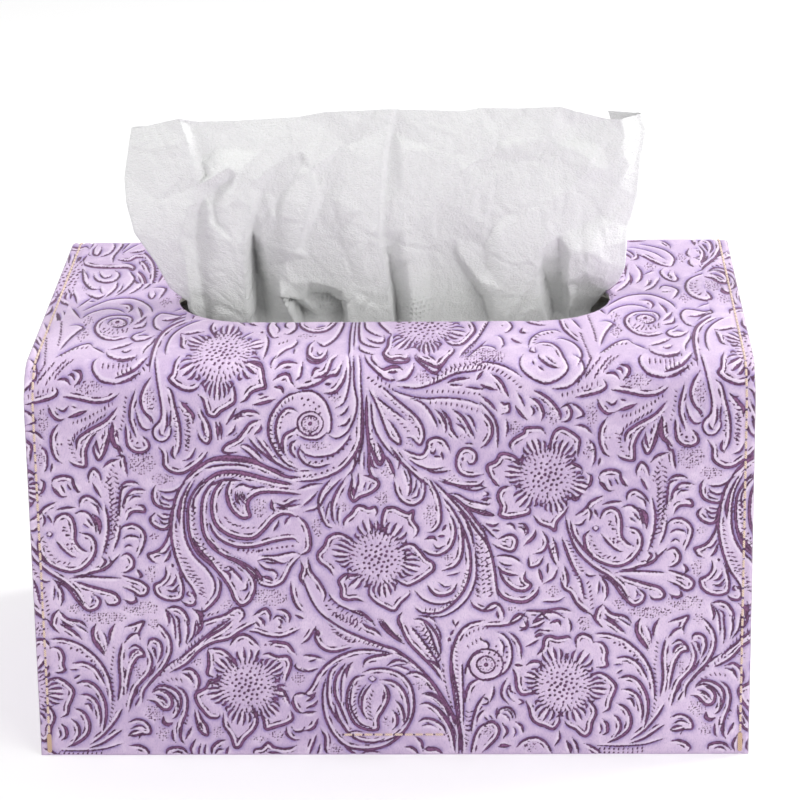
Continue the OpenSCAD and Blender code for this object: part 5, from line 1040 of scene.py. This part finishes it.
def layFace(name, place, maps, material, slot, trim=slice(None), keep=None):        # grid points become a tooled face
    normal = np.cross(np.gradient(place, axis=1), np.gradient(place, axis=0))
    normal /= np.linalg.norm(normal, axis=2, keepdims=True) + 1e-12
    place, normal = place[trim], normal[trim]
    piece = gridSheet(name, *place.shape[:2])
    mesh = piece.data
    setPlaces(mesh, place)
    for key, values in zip(("line", "halo", "rimHighlight"), maps):
        setFloat(mesh, key, np.clip(values[trim], -1, 2))
    facing = mesh.attributes.new("facing", "FLOAT_VECTOR", "POINT")
    facing.data.foreach_set("vector", normal.astype(np.float32).ravel())
    if keep is not None and not keep[trim].all():
        cutAway(mesh, ~keep[trim].ravel()[loopPoints(mesh).reshape(-1, 4)].any(1))
    normals = getVectors(mesh.attributes["facing"].data, "vector", len(mesh.vertices))
    mesh.attributes.remove(mesh.attributes["facing"])
    mesh.polygons.foreach_set("use_smooth", np.ones(len(mesh.polygons), bool))
    mesh.normals_split_custom_set_from_vertices(normals.tolist())
    mesh.update()
    mesh.materials.append(material)
    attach(piece, "cover")


# the tooled faces, laid over the strip and the end panels

seamRuns = (        # from, to, stitches
    (cover["seamFoot"], frontTop, 33),
    (frontTop, topStart, 6),
    (topStart, topEnd, 38),
)
endPanel = {"reach": 99, "halfDeep": 64.4, "high": 114.4, "round": 6.4, "step": 0.6, "tuck": 1.0, "shift": (26, 2)}


def fromSeam(u):
    return np.abs(np.abs(u) - seamAcross)


def seamTrench(height, u, s):
    height = nearRow(height, fromSeam(u), sewing["seamReach"])
    for row in strapRows:
        beside = np.clip(np.abs(u) - (cover["rowHalf"] + sewing["beside"]), 0, None)
        height = nearRow(height, np.hypot(s - row, beside), sewing["rowReach"])
    return height


def needleHoles(u, s):        # how far a point of the strip is from the holes between the stitches
    up = np.minimum(s, stripEnd - s)        # both halves of the strip are sewn alike
    gap = np.full(u.shape, 9.0)
    for low, high, count in seamRuns:
        pitch = (high - low) / count
        nearest = low + np.clip(np.round((up - low) / pitch), 0, count) * pitch
        gap = np.minimum(gap, np.hypot(up - nearest, fromSeam(u)))
    pitch, most = cover["pitch"], cover["rowHalf"] / cover["pitch"]
    for row in strapRows:
        gap = np.minimum(gap, np.hypot(s - row, u - np.clip(np.round(u / pitch), -most, most) * pitch))
    return gap - cover["needle"]


def mouthInside(u, s):        # how far a point of the strip is from the mouth's edge, negative inside it
    return np.hypot(np.clip(np.abs(u) - mouthHalf, 0, None), s - mouthRow) - cover["mouthWide"] / 2


def wrapFace(name, low, high):        # rows low to high of the strip as one piece
    first, last = max(low - 1, 0), min(high + 2, len(gridS))        # one row more on each side for the normals
    u, s = np.meshgrid(gridU, gridS[first:last])
    maps = [values[first:last] for values in hide.maps()]
    maps[0] = np.minimum(maps[0], needleHoles(u, s))
    gap = mouthInside(u, s)
    keep = gap > -press["step"] * 0.75
    near = (gap < 0) & keep        # the points next to the mouth are set on its edge
    core = np.clip(u, -mouthHalf, mouthHalf)
    far = np.hypot(u - core, s - mouthRow) + 1e-9
    u = np.where(near, core + (u - core) / far * cover["mouthWide"] / 2, u)
    s = np.where(near, mouthRow + (s - mouthRow) / far * cover["mouthWide"] / 2, s)
    height = seamTrench(relief(*maps), u, s)
    edge = np.minimum(np.minimum(cover["long"] / 2 - np.abs(u), mouthInside(u, s)), s)
    place = wrapPlace(u, s, tuck(height, edge))
    layFace(name, place, maps, toolingLeather, "tooled_leather", slice(low - first, high + 1 - first), keep)


def backFace():
    low, half = topEnd + foldArc, cover["long"] / 2
    rows = int((stripEnd - low) / press["backStep"]) + 1
    columns = int(cover["long"] / press["backStep"]) + 1
    u, s = np.meshgrid(np.linspace(-half, half, columns), np.linspace(low, stripEnd, rows))
    maps = hide.take(u, s - press["restart"])
    maps[0] = np.minimum(maps[0], needleHoles(u, s))
    height = seamTrench(relief(*maps), u, s)
    height = tuck(height, np.minimum(half - np.abs(u), stripEnd - s))
    layFace("back_tooling", wrapPlace(u, s, height), maps, toolingLeather, "tooled_leather")


def endFace(name, side):
    wide, high, step, corner = (endPanel[key] for key in ("halfDeep", "high", "step", "round"))
    y, z = np.meshgrid(np.linspace(-wide, wide, int(2 * wide / step) + 1), np.linspace(0, high, int(high / step) + 1))
    over = np.clip(z - (high - corner), 0, None)        # the upper corners are rounded in with the outline
    limit = wide - corner + np.sqrt(np.clip(corner ** 2 - over ** 2, 0, None))
    y = y * side * limit / wide
    maps = hide.take(y * side + endPanel["shift"][0] * side, z + endPanel["shift"][1])
    edge = np.minimum(np.minimum(limit - np.abs(y), high - z), z)
    height = tuck(relief(*maps), edge, endPanel["tuck"])
    place = np.stack([side * (endPanel["reach"] + height), y, z], -1) * mm
    layFace(name, place, maps, shadedEndLeather, "end_leather")


print("tooled leather")
faces = ("front_foot_tooling", "front_tooling", "front_fold_tooling", "top_tooling", "rear_fold_tooling")
cuts = np.linspace(0, len(gridS) - 1, len(faces) + 1).astype(int)
for name, low, high in zip(faces, cuts, cuts[1:]):
    wrapFace(name, int(low), int(high))
backFace()
endFace("left_end_tooling", -1)
endFace("right_end_tooling", 1)


# the tissue that stands in the mouth

tissue = {"wide": 185, "long": 150, "step": 0.75, "standing": 68, "waistLevel": 112, "waistLeft": -58.5,
          "topSpots": 16, "leftSpots": 7, "rightSpots": (15, 25),        # which spots of the edge are on which side
          "below": ((0, 7.1), (90, 2.5), (0, 15), (-180, 2.4), (0, 33), (180, 2.4), (0, 20)),        # turn and length
          "fade": ((0, 7, 10, 26, 60), (1, 0.1, 0.06, 0.03, 0.03)),        # what is left of the creases below
          "narrow": ((0, 8), (1, 0.95)), "roomAtLeast": 10,
          "forward": (5.8, 0.28), "backward": (1.3, -17)}        # how strongly a crease stands out or goes in
flap = {"wide": 13, "turn": 162, "bend": 3.2, "loose": ((-9, -4), (0.1, 1))}        # the turned-in side edges
crumples = {"count": 230, "depth": 0.35, "reach": 80, "high": 78, "crowded": 1.3, "upright": 90, "lean": 38,
            "length": (4, 15), "wide": (1.2, 3.6), "steep": 0.3, "from": -6, "fade": 12}
pins = {"row": 5, "half": 4, "waves": ((0.11, 1), (0.043, 0.4)), "gain": 4, "limit": 1.6}
creases = {        # placed on the photo: across, down, then how far the crease comes forward in mm
    "edge": (134,130,-2, 160,123,0, 179,118,2.5, 197,122,-0.5, 234,121,-0.3, 299,117,0.2, 325,112,0.3, 392,109,1.6,
        397,109.3,0.9, 462,111,0.6, 482,107.5,1, 520,108,1, 560,106,2.8, 607,119,0.2, 621,119.5,0.6, 638,116,-4,
        643,132,-5, 637,161,-4.5, 634,197,-4.5, 625.5,226,-4, 623,242,-3, 621,269,-3, 614,284,-4, 600,296,-6,
        588,312,-9, 582,324,-10, 571,324,-2.5, 564,324,-8, 555,324,-11, 548,324,3.6, 512,324,4, 502,324,2,
        490,324,-4.4, 455,324,-2.5, 430,324,-1.2, 413,324,3, 396.5,324,-6.5, 393,324,3.4, 372,324,3.2, 350,324,1.5,
        343,324,-12, 325,324,-13, 307,324,-13, 296,324,-0.2, 276,324,-5, 260,324,-17, 249,324,3.4, 234,324,4.2,
        208,324,-0.6, 193,324,0.6, 192,310,1.4, 190,301,1.8, 174,288,1.5, 159,263,1, 138,233,0.4, 130,204,-1,
        128,179,-2.2),
    "flapCrest": (179,118,2.5, 187,140,2.7, 192,160,2.6, 198,184,2.2),
    "flapFoot": (190,124,-0.6, 197,140,-0.2, 202,160,0, 206,175,0.6),
    "shoulder": (198,184,2.2, 214,176,2.8, 228,167,2.6, 238,173,3.4),
    "shoulderFoot": (205,196,0.2, 218,188,0.2, 231,180,1),
    "flapEdge": (198,184,2.2, 191,205,3, 184,222,3.2, 181,238,3, 186,262,2.6, 189,285,2.4, 190,301,1.8),
    "flapDark": (205,196,0.2, 198,215,-0.5, 196,240,-0.5, 199,265,-0.3, 203,290,0, 208,324,-0.6),
    "pucker": (209,206,1.5, 210,222,1.9, 222,235,2.5, 232,252,3.5),
    "puckerFoot": (213,204,0.2, 216,220,0.4, 226,230,1.6),
    "leftRidge": (238,173,3.4, 233,195,3.8, 228,210,3.4, 229,226,3.6, 236,245,5, 238,270,5.2, 236,295,5, 234,324,4.2),
    "leftShoulder": (250,185,3.2, 252,205,3.6, 247,222,4, 245,240,4.6, 245,265,4.6, 247,295,4.2, 249,324,3.4),
    "trough": (262,190,1, 257,212,0.4, 253,230,-2, 254,250,-11, 256,275,-15, 258,300,-17, 260,324,-17),
    "troughRight": (272,205,0.6, 262,226,0, 263,245,-1.6, 267,268,-2.8, 272,290,-4, 276,324,-5),
    "smallRidge": (284,262,0, 279,280,-0.5, 281,296,2, 288,308,1.4, 296,324,-0.2),
    "patchTop": (281,296,2, 291,284,0.4, 308,282,0.2, 325,285,0.2, 343,291,0.8),
    "patchFold": (302,301,-3, 313,311,-5, 319,319,-7),
    "patchFoldRight": (328,303,-4.5, 331,312,-7, 330,320,-8.5),
    "patchFloor": (292,300,-7, 301,310,-12, 307,324,-13),
    "patchFloorTop": (292,300,-7, 310,295,-8, 326,296,-9, 341,300,-9),
    "patchRight": (341,300,-9, 343,324,-12),
    "patchEdge": (343,291,0.8, 346,301,1.2, 350,324,1.5),
    "midRidge": (306,158,2, 310,170,2.6, 314,185,3, 309,205,3.2, 306,222,3, 300,238,2.6, 294,252,2),
    "midFoot": (318,176,1, 322,195,0.6, 318,215,0.6, 308,232,0.4, 303,246,0.1, 308,256,0.2),
    "nick": (279,198,0.4, 276,212,0.1, 279,222,0.4),
    "nickRidge": (270,200,1.2, 271,214,1.3),
    "nickRight": (284,200,1.5, 282,215,1.4),
    "lowerMid": (335,236,0.5, 345,252,0.9, 352,270,1.4),
    "centreRidge": (366,160,2.2, 364,185,2.6, 362,210,3, 362,240,3.4, 366,270,3.6, 370,300,3.6, 372,324,3.2),
    "creaseLeft": (392,109,1.6, 386,130,1.6, 383.5,150,2.6, 381,180,3.4, 379,205,3.9, 380,228,4.2, 384,250,4.4,
        388,275,4.4, 391,300,4, 393,324,3.4),
    "creaseRight": (397,109.3,0.9, 393,132,0.4, 390,152,0.2, 386,182,0.6, 382.7,207,2, 383.2,230,1.8, 387,252,-0.6,
        391,277,-3.4, 394.4,302,-5.6, 396.5,324,-6.5),
    "rightRidge": (404,150,1.9, 402,190,2.1, 404,230,2.9, 408,262,3.3, 411,290,3.4, 413,324,3),
    "rightFoot": (422,180,1.7, 424,215,1.9, 426,245,1.4, 430,268,0.2, 431,295,-0.6, 430,324,-1.2),
    "fanDark": (455,236,0.9, 452,248,0.1, 458,262,-0.8, 470,280,-1.9, 482,298,-3.4, 490,324,-4.4),
    "fanLight": (455,236,0.9, 463,260,0.8, 478,280,0.7, 491,298,1.6, 502,324,2),
    "fanFloor": (440,262,-0.1, 450,285,-1.2, 455,310,-2.2),
    "bigRidge": (520,214,2.7, 508,222,2.8, 500,236,3.1, 503,260,3.9, 505,290,4.3, 512,324,4),
    "bigFoot": (505,214,1.6, 492,228,1.2, 484,245,0.3, 487,268,0.3),
    "bigCrest": (545,208,3, 548,228,3.5, 539,250,4.5, 537,275,4.9, 540,300,4.7, 548,324,3.6),
    "pocketLeft": (558,234,1.8, 543,256,1.2, 542.5,268,-3, 548,290,-8, 555,324,-11),
    "pocketRight": (558,234,1.8, 560,260,-2.2, 562,285,-5.5, 564,324,-8),
    "whiteEdge": (558,234,1.8, 570,250,2.6, 568,268,1.7, 566,285,0.7, 569,300,-1, 571,324,-2.5),
    "flapIn": (590,252,2.3, 585,272,1.2, 577,286,-3, 577,324,-10),
    "cornerFold": (560,106,2.8, 553,118,2.5, 549,135,2.1, 556,143,1.7, 575,148,1.7, 590,160,1.9, 597,168,1.1),
    "cornerDark": (568,124,0.6, 575,138,0.4, 600,145,0.2, 622,150,-0.4, 629,164,-1.4),
    "hook": (590,160,1.9, 586,171,1.7, 577,180,1.3),
    "hookFoot": (598,176,0.2, 588,182,0.4),
    "rightFlap": (621,119.5,0.6, 624,135,-0.5, 622,150,-0.4),
    "rightFlap2": (629,164,-1.4, 620,184,-1.8, 611,170,-0.5, 600,186,-0.7, 604,215,-1.2, 612,222,-2),
    "lightEdge": (480,118,1.2, 492,139,2, 483,158,1.7),
    "lightFoot": (496,122,1, 500,140,1.2, 492,158,1.2),
    "spur": (465,168,2.3, 478,185,2.1, 485,195,1.5, 481,206,1.3),
    "spurFoot": (476,164,1.4, 490,180,1.4, 494,196,1.2),
    "dimple": (502,146,1.9, 510,160,1.2, 518,166,1.6),
    "wave": (330,128,0.2, 345,145,0.4, 350,164,0.9, 341,180,0.7),
    "wave2": (300,150,1.3, 304,160,0.9, 297,175,1.2),
    "low": (215,150,-0.1, 222,135,-0.4),
    "low2": (240,150,0.5, 262,150,1.3, 280,160,1.6),
    "low3": (440,150,1.3, 446,200,2, 470,215,2.1),
    "low4": (540,160,1.6, 552,188,2),
    "low5": (150,150,0.2, 158,200,1, 165,240,1.8, 178,270,2),
}


def seenSpot(across, down, forward):        # across, up and forward in millimetres, from where the camera sees it
    right, up, ahead = cameraAxes()
    middle = view["frame"] / 2
    sight = ahead + right * ((across - middle) / viewScale) - up * ((down - middle) / viewScale)
    start = Vector(view["place"]) / mm
    spot = start - sight * ((start.y + forward) / sight.y)
    return spot.x, spot.z, forward


creases = {name: [seenSpot(*line[i:i + 3]) for i in range(0, len(line), 3)] for name, line in creases.items()}


def creaseMesh():        # triangles between the creases, with a depth at each corner
    spots, ties, depth = [], [], []
    for name, line in creases.items():
        for i, (x, z, forward) in enumerate(line):
            if i and name != "edge":
                ties.append((len(spots) - 1, len(spots)))
            spots.append(Vector((x, z)))
            depth.append(forward)
    points, _, faces, sources = geometry.delaunay_2d_cdt(spots, ties, [], 0, 0.05)[:4]
    points = np.array([list(p) for p in points])
    level = np.array([np.mean([depth[i] for i in found]) if found else np.nan for found in sources])
    for n in np.flatnonzero(np.isnan(level)):        # where two creases cross
        far = np.hypot(*(points - points[n]).T) + np.isnan(level) * 1e9
        near = np.argsort(far)[:3]
        level[n] = np.average(level[near], weights=1 / (far[near] + 0.1))
    return points, level, faces


def creaseDepth(x, z):        # flat facets between the creases
    points, level, faces = creaseMesh()
    found, best = np.zeros(x.shape), np.full(x.shape, -1e9)
    for face in faces:
        for k in range(1, len(face) - 1):
            a, b, c = points[face[0]], points[face[k]], points[face[k + 1]]
            area = (b[0] - a[0]) * (c[1] - a[1]) - (c[0] - a[0]) * (b[1] - a[1])
            if abs(area) < 1e-6:
                continue
            atB = ((x - a[0]) * (c[1] - a[1]) - (c[0] - a[0]) * (z - a[1])) / area
            atC = ((b[0] - a[0]) * (z - a[1]) - (x - a[0]) * (b[1] - a[1])) / area
            inside = np.minimum(np.minimum(atB, atC), 1 - atB - atC)
            here = (1 - atB - atC) * level[face[0]] + atB * level[face[k]] + atC * level[face[k + 1]]
            found = np.where(inside > best, here, found)
            best = np.maximum(inside, best)
    (most, rise), (fall, deepest) = tissue["forward"], tissue["backward"]
    return np.where(found > 0, most * np.tanh(found * rise), np.clip(found * fall, deepest, 0))


def crumple(across, along):        # many small creases, more of them near the waist
    dice = np.random.RandomState(11)
    out = np.zeros(across.shape)
    for _ in range(crumples["count"]):
        x = dice.uniform(-crumples["reach"], crumples["reach"])
        s = crumples["high"] * dice.uniform(0, 1) ** crumples["crowded"]
        angle = math.radians(crumples["upright"] + dice.normal(0, crumples["lean"]))
        length, wide = dice.uniform(*crumples["length"]), dice.uniform(*crumples["wide"])
        dx, ds = across - x, along - s
        run, off = dx * math.cos(angle) + ds * math.sin(angle), -dx * math.sin(angle) + ds * math.cos(angle)
        ends = np.clip(1 - np.abs(run) / length, 0, 1)
        steep = np.clip(1 + off / (wide * crumples["steep"]), 0, 1)
        tent = np.where(off > 0, np.clip(1 - off / wide, 0, 1), steep)
        out += dice.choice([-1, 1]) * dice.uniform(0.3, 1) * tent * np.sqrt(ends)
    return out * crumples["depth"]


def standingPart():        # across, back and up of the part above the waist, from below upward
    step, level = tissue["step"], tissue["waistLevel"]
    share = np.linspace(0, 1, int((tissue["wide"] - 2 * flap["wide"]) / step) + 1)
    t = np.linspace(0, 1, int(tissue["standing"] / step) + 1)
    top = creases["edge"][:tissue["topSpots"]]
    topX, topZ = np.array([spot[0] for spot in top]), np.array([spot[1] for spot in top])
    high = np.interp(topX[0] + (topX[-1] - topX[0]) * share, topX, topZ)
    rim = [(z, x) for x, z, _ in creases["edge"]]
    leftRim = sorted([(level, tissue["waistLeft"]), rim[0]] + rim[-tissue["leftSpots"]:])
    rightRim = sorted(rim[slice(*tissue["rightSpots"])])
    left = np.interp(level + (topZ[0] - level) * t, *zip(*leftRim))
    right = np.interp(level + (topZ[-1] - level) * t, *zip(*rightRim))
    x = left[:, None] * (1 - share) + right[:, None] * share
    z = level + (high - level) * t[:, None]
    return x, -creaseDepth(x, z), z


def foldedFoot(x, y):        # below the waist it lies folded on the stack, narrow enough to be pulled out
    place, heading, run = np.array([0.0, tissue["waistLevel"]]), -math.pi / 2, 0
    radius, rows = cover["mouthWide"] / 2, []
    for turn, length in tissue["below"]:
        pieces = max(1, round(length / tissue["step"]))
        for _ in range(pieces):
            heading += math.radians(turn) / pieces
            place = place + np.array([math.cos(heading), math.sin(heading)]) * length / pieces
            run += length / pieces
            out = (math.sin(heading), -math.cos(heading))
            fade = np.interp(run, *tissue["fade"])
            across = x * np.interp(run, *tissue["narrow"])
            beyond = np.clip(np.abs(across) - mouthHalf, 0, None)
            room = np.sqrt(np.clip(radius ** 2 - beyond ** 2, tissue["roomAtLeast"] ** 2, None)) / radius
            back = (place[0] - out[0] * y * fade) * (room if run > tissue["narrow"][0][1] else 1)
            rows.append((across, back, place[1] - out[1] * y * fade, np.full(len(x), -run), out))
    return rows[::-1]


def turnedIn(grid, out, side):        # a side edge turned in behind, column by column
    x, y, z, along = grid[:, :, 0 if side < 0 else -1]
    loose = np.interp(grid[3, :, 0], *flap["loose"])
    made, step = [], tissue["step"]
    for n in range(int(flap["wide"] / step)):
        turn = math.radians(flap["turn"]) * min(1, (n + 0.5) * step / flap["bend"])
        x = x + side * math.cos(turn) * step
        y = y - out[:, 0] * math.sin(turn) * step * loose
        z = z - out[:, 1] * math.sin(turn) * step * loose
        made.append(np.stack([x, y, z, along]))
    return np.stack(made[::side], 2)


def tissueGrid():        # across, back, up and the way along the sheet at each of its points
    x, y, z = standingPart()
    foot = foldedFoot(x[0], y[0])
    low = np.array([np.stack(row[:4]) for row in foot]).transpose(1, 0, 2)
    grid = np.concatenate([low, np.stack([x, y, z, z - tissue["waistLevel"]])], 1)
    out = np.array([row[4] for row in foot] + [(-1, 0)] * len(x))
    return np.concatenate([turnedIn(grid, out, -1), grid, turnedIn(grid, out, 1)], 2)


def makeTissue():
    x, y, z, along = tissueGrid()
    rows, columns = x.shape
    step = tissue["step"]
    across = (np.arange(columns) - (columns - 1) / 2) * step + 0 * x
    standing = np.clip((along - crumples["from"]) / crumples["fade"], 0, 1)
    place = np.stack([x, y - crumple(across, along) * standing, z], -1) * mm
    sheet = gridSheet("standing_tissue", rows, columns)
    mesh = sheet.data
    setPlaces(mesh, place)
    cut = mesh.uv_layers[0]        # the sheet's own millimetres
    cut.name = "cut"
    flat = np.stack([across.ravel(), np.repeat(np.arange(rows) * step, columns)], 1)
    cut.data.foreach_set("uv", flat[loopPoints(mesh)].astype(np.float32).ravel())
    (a, shiftA), (b, shiftB) = pins["waves"]
    patch = np.clip(np.sin(across * a + shiftA) * np.sin(across * b + shiftB) * pins["gain"] - pins["limit"], 0, 1)
    setFloat(mesh, "pins", np.clip(1 - np.abs(along - pins["row"]) / pins["half"], 0, 1) ** 0.5 * patch)
    mesh.polygons.foreach_set("use_smooth", np.ones(len(mesh.polygons), bool))
    mesh.update()
    mesh.materials.append(tissueFinish)
    settle(sheet, along)
    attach(sheet, "tissue")
    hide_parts("popped_tissue")
    low, high = ([round(v / mm, 1) for v in corner] for corner in (place.min((0, 1)), place.max((0, 1))))
    area = sum(p.area for p in mesh.polygons)
    print("tissue area", round(area * 1e6), "of", tissue["wide"] * tissue["long"], "sq mm, box", low, high)


softness = {"quality": 6, "mass": 0.002, "tension_stiffness": 12, "compression_stiffness": 12, "shear_stiffness": 12,
            "bending_stiffness": 0.02, "pin_stiffness": 0.6, "shrink_min": -0.012}
settling = {"frames": 14, "mostMove": 1.6, "heldBelow": 2, "hold": (1.0, 0.12), "gravity": 0.02}


def settle(sheet, along):        # the cloth takes up its last small wrinkles
    mesh = sheet.data
    before = getVectors(mesh.vertices, "co", len(mesh.vertices))
    hold = sheet.vertex_groups.new(name="hold")
    held = along.ravel() < settling["heldBelow"]
    for weight, chosen in zip(settling["hold"], (held, ~held)):
        hold.add(np.flatnonzero(chosen).tolist(), weight, "REPLACE")
    bpy.ops.object.select_all(action="DESELECT")
    sheet.select_set(True)
    bpy.context.view_layer.objects.active = sheet
    bpy.ops.object.modifier_add(type="CLOTH")
    cloth = sheet.modifiers[-1]
    for key, value in softness.items():
        setattr(cloth.settings, key, value)
    cloth.settings.vertex_group_mass = "hold"
    cloth.settings.effector_weights.gravity = settling["gravity"]
    cloth.collision_settings.use_collision = False
    cloth.point_cache.frame_end = settling["frames"]
    for frameNumber in range(1, settling["frames"] + 1):
        bpy.context.scene.frame_set(frameNumber)
    bpy.ops.object.modifier_apply(modifier=cloth.name)
    bpy.context.scene.frame_set(1)
    move = getVectors(mesh.vertices, "co", len(mesh.vertices)) - before
    far = np.linalg.norm(move, axis=1, keepdims=True) / mm
    print("cloth moved", float(far.mean()), "mm on average,", float(far.max()), "at most")
    move *= np.minimum(1, settling["mostMove"] / np.maximum(far, 1e-6))
    setPlaces(mesh, before + move)
    mesh.update()


print("tissue")
makeTissue()


# floor, world and lamps

print("floor and lamps")
studio = {"floor": 6, "floorTone": (0.86, 0.86, 0.86), "floorRough": 0.95, "floorShine": 0.1, "floorGlow": 0.23,
          "world": 0.54, "aim": (0, 0, 0.08)}
lamps = {        # place, size, power
    "high": ((-0.9, -0.15, 1.1), 0.35, 6),
    "front": ((1.35, -1.5, 0.85), 1.6, 18),
    "back": ((0.75, 0.35, 0.8), 0.5, 8),
}


def makeFloor():
    bpy.ops.object.select_all(action="DESELECT")
    bpy.ops.mesh.primitive_plane_add(size=studio["floor"], location=(0, 0, 0))
    floor = bpy.context.object
    floor.name = "floor"
    material = bpy.data.materials.new("floor paper")
    material.use_nodes = True
    tree = material.node_tree
    shader = tree.nodes["Principled BSDF"]
    shader.inputs["Base Color"].default_value = (*studio["floorTone"], 1)
    shader.inputs["Roughness"].default_value = studio["floorRough"]
    shader.inputs["Specular IOR Level"].default_value = studio["floorShine"]
    glow = tree.nodes.new("ShaderNodeMath")
    glow.operation = "MULTIPLY"
    glow.inputs[1].default_value = studio["floorGlow"]
    tree.links.new(whiteRays(tree), glow.inputs[0])
    shader.inputs["Emission Color"].default_value = (1, 1, 1, 1)
    tree.links.new(glow.outputs[0], shader.inputs["Emission Strength"])
    floor.data.materials.append(material)


def whiteRays(tree):        # 1 for camera, mirror and glass rays
    path = tree.nodes.new("ShaderNodeLightPath")
    out = path.outputs["Is Camera Ray"]
    for other in ("Is Glossy Ray", "Is Transmission Ray"):
        both = tree.nodes.new("ShaderNodeMath")
        both.operation = "MAXIMUM"
        tree.links.new(out, both.inputs[0])
        tree.links.new(path.outputs[other], both.inputs[1])
        out = both.outputs[0]
    return out


def makeWorld():
    world = bpy.data.worlds.new("studio")
    bpy.context.scene.world = world
    world.use_nodes = True
    tree = world.node_tree
    sky = tree.nodes["Background"]
    level = tree.nodes.new("ShaderNodeMapRange")
    level.inputs[3].default_value = studio["world"]
    level.inputs[4].default_value = 1.0
    tree.links.new(whiteRays(tree), level.inputs[0])
    tree.links.new(level.outputs[0], sky.inputs["Strength"])
    sky.inputs["Color"].default_value = (1, 1, 1, 1)


def makeLamp(name, place, size, power):
    bpy.ops.object.light_add(type="AREA", location=place)
    lamp = bpy.context.object
    lamp.name = name
    lamp.data.size = size
    lamp.data.energy = power
    lamp.rotation_euler = (Vector(studio["aim"]) - Vector(place)).to_track_quat("-Z", "Y").to_euler()


makeFloor()
makeWorld()
for name, (place, size, power) in lamps.items():
    makeLamp(name, place, size, power)
bpy.context.scene.view_settings.view_transform = "Standard"
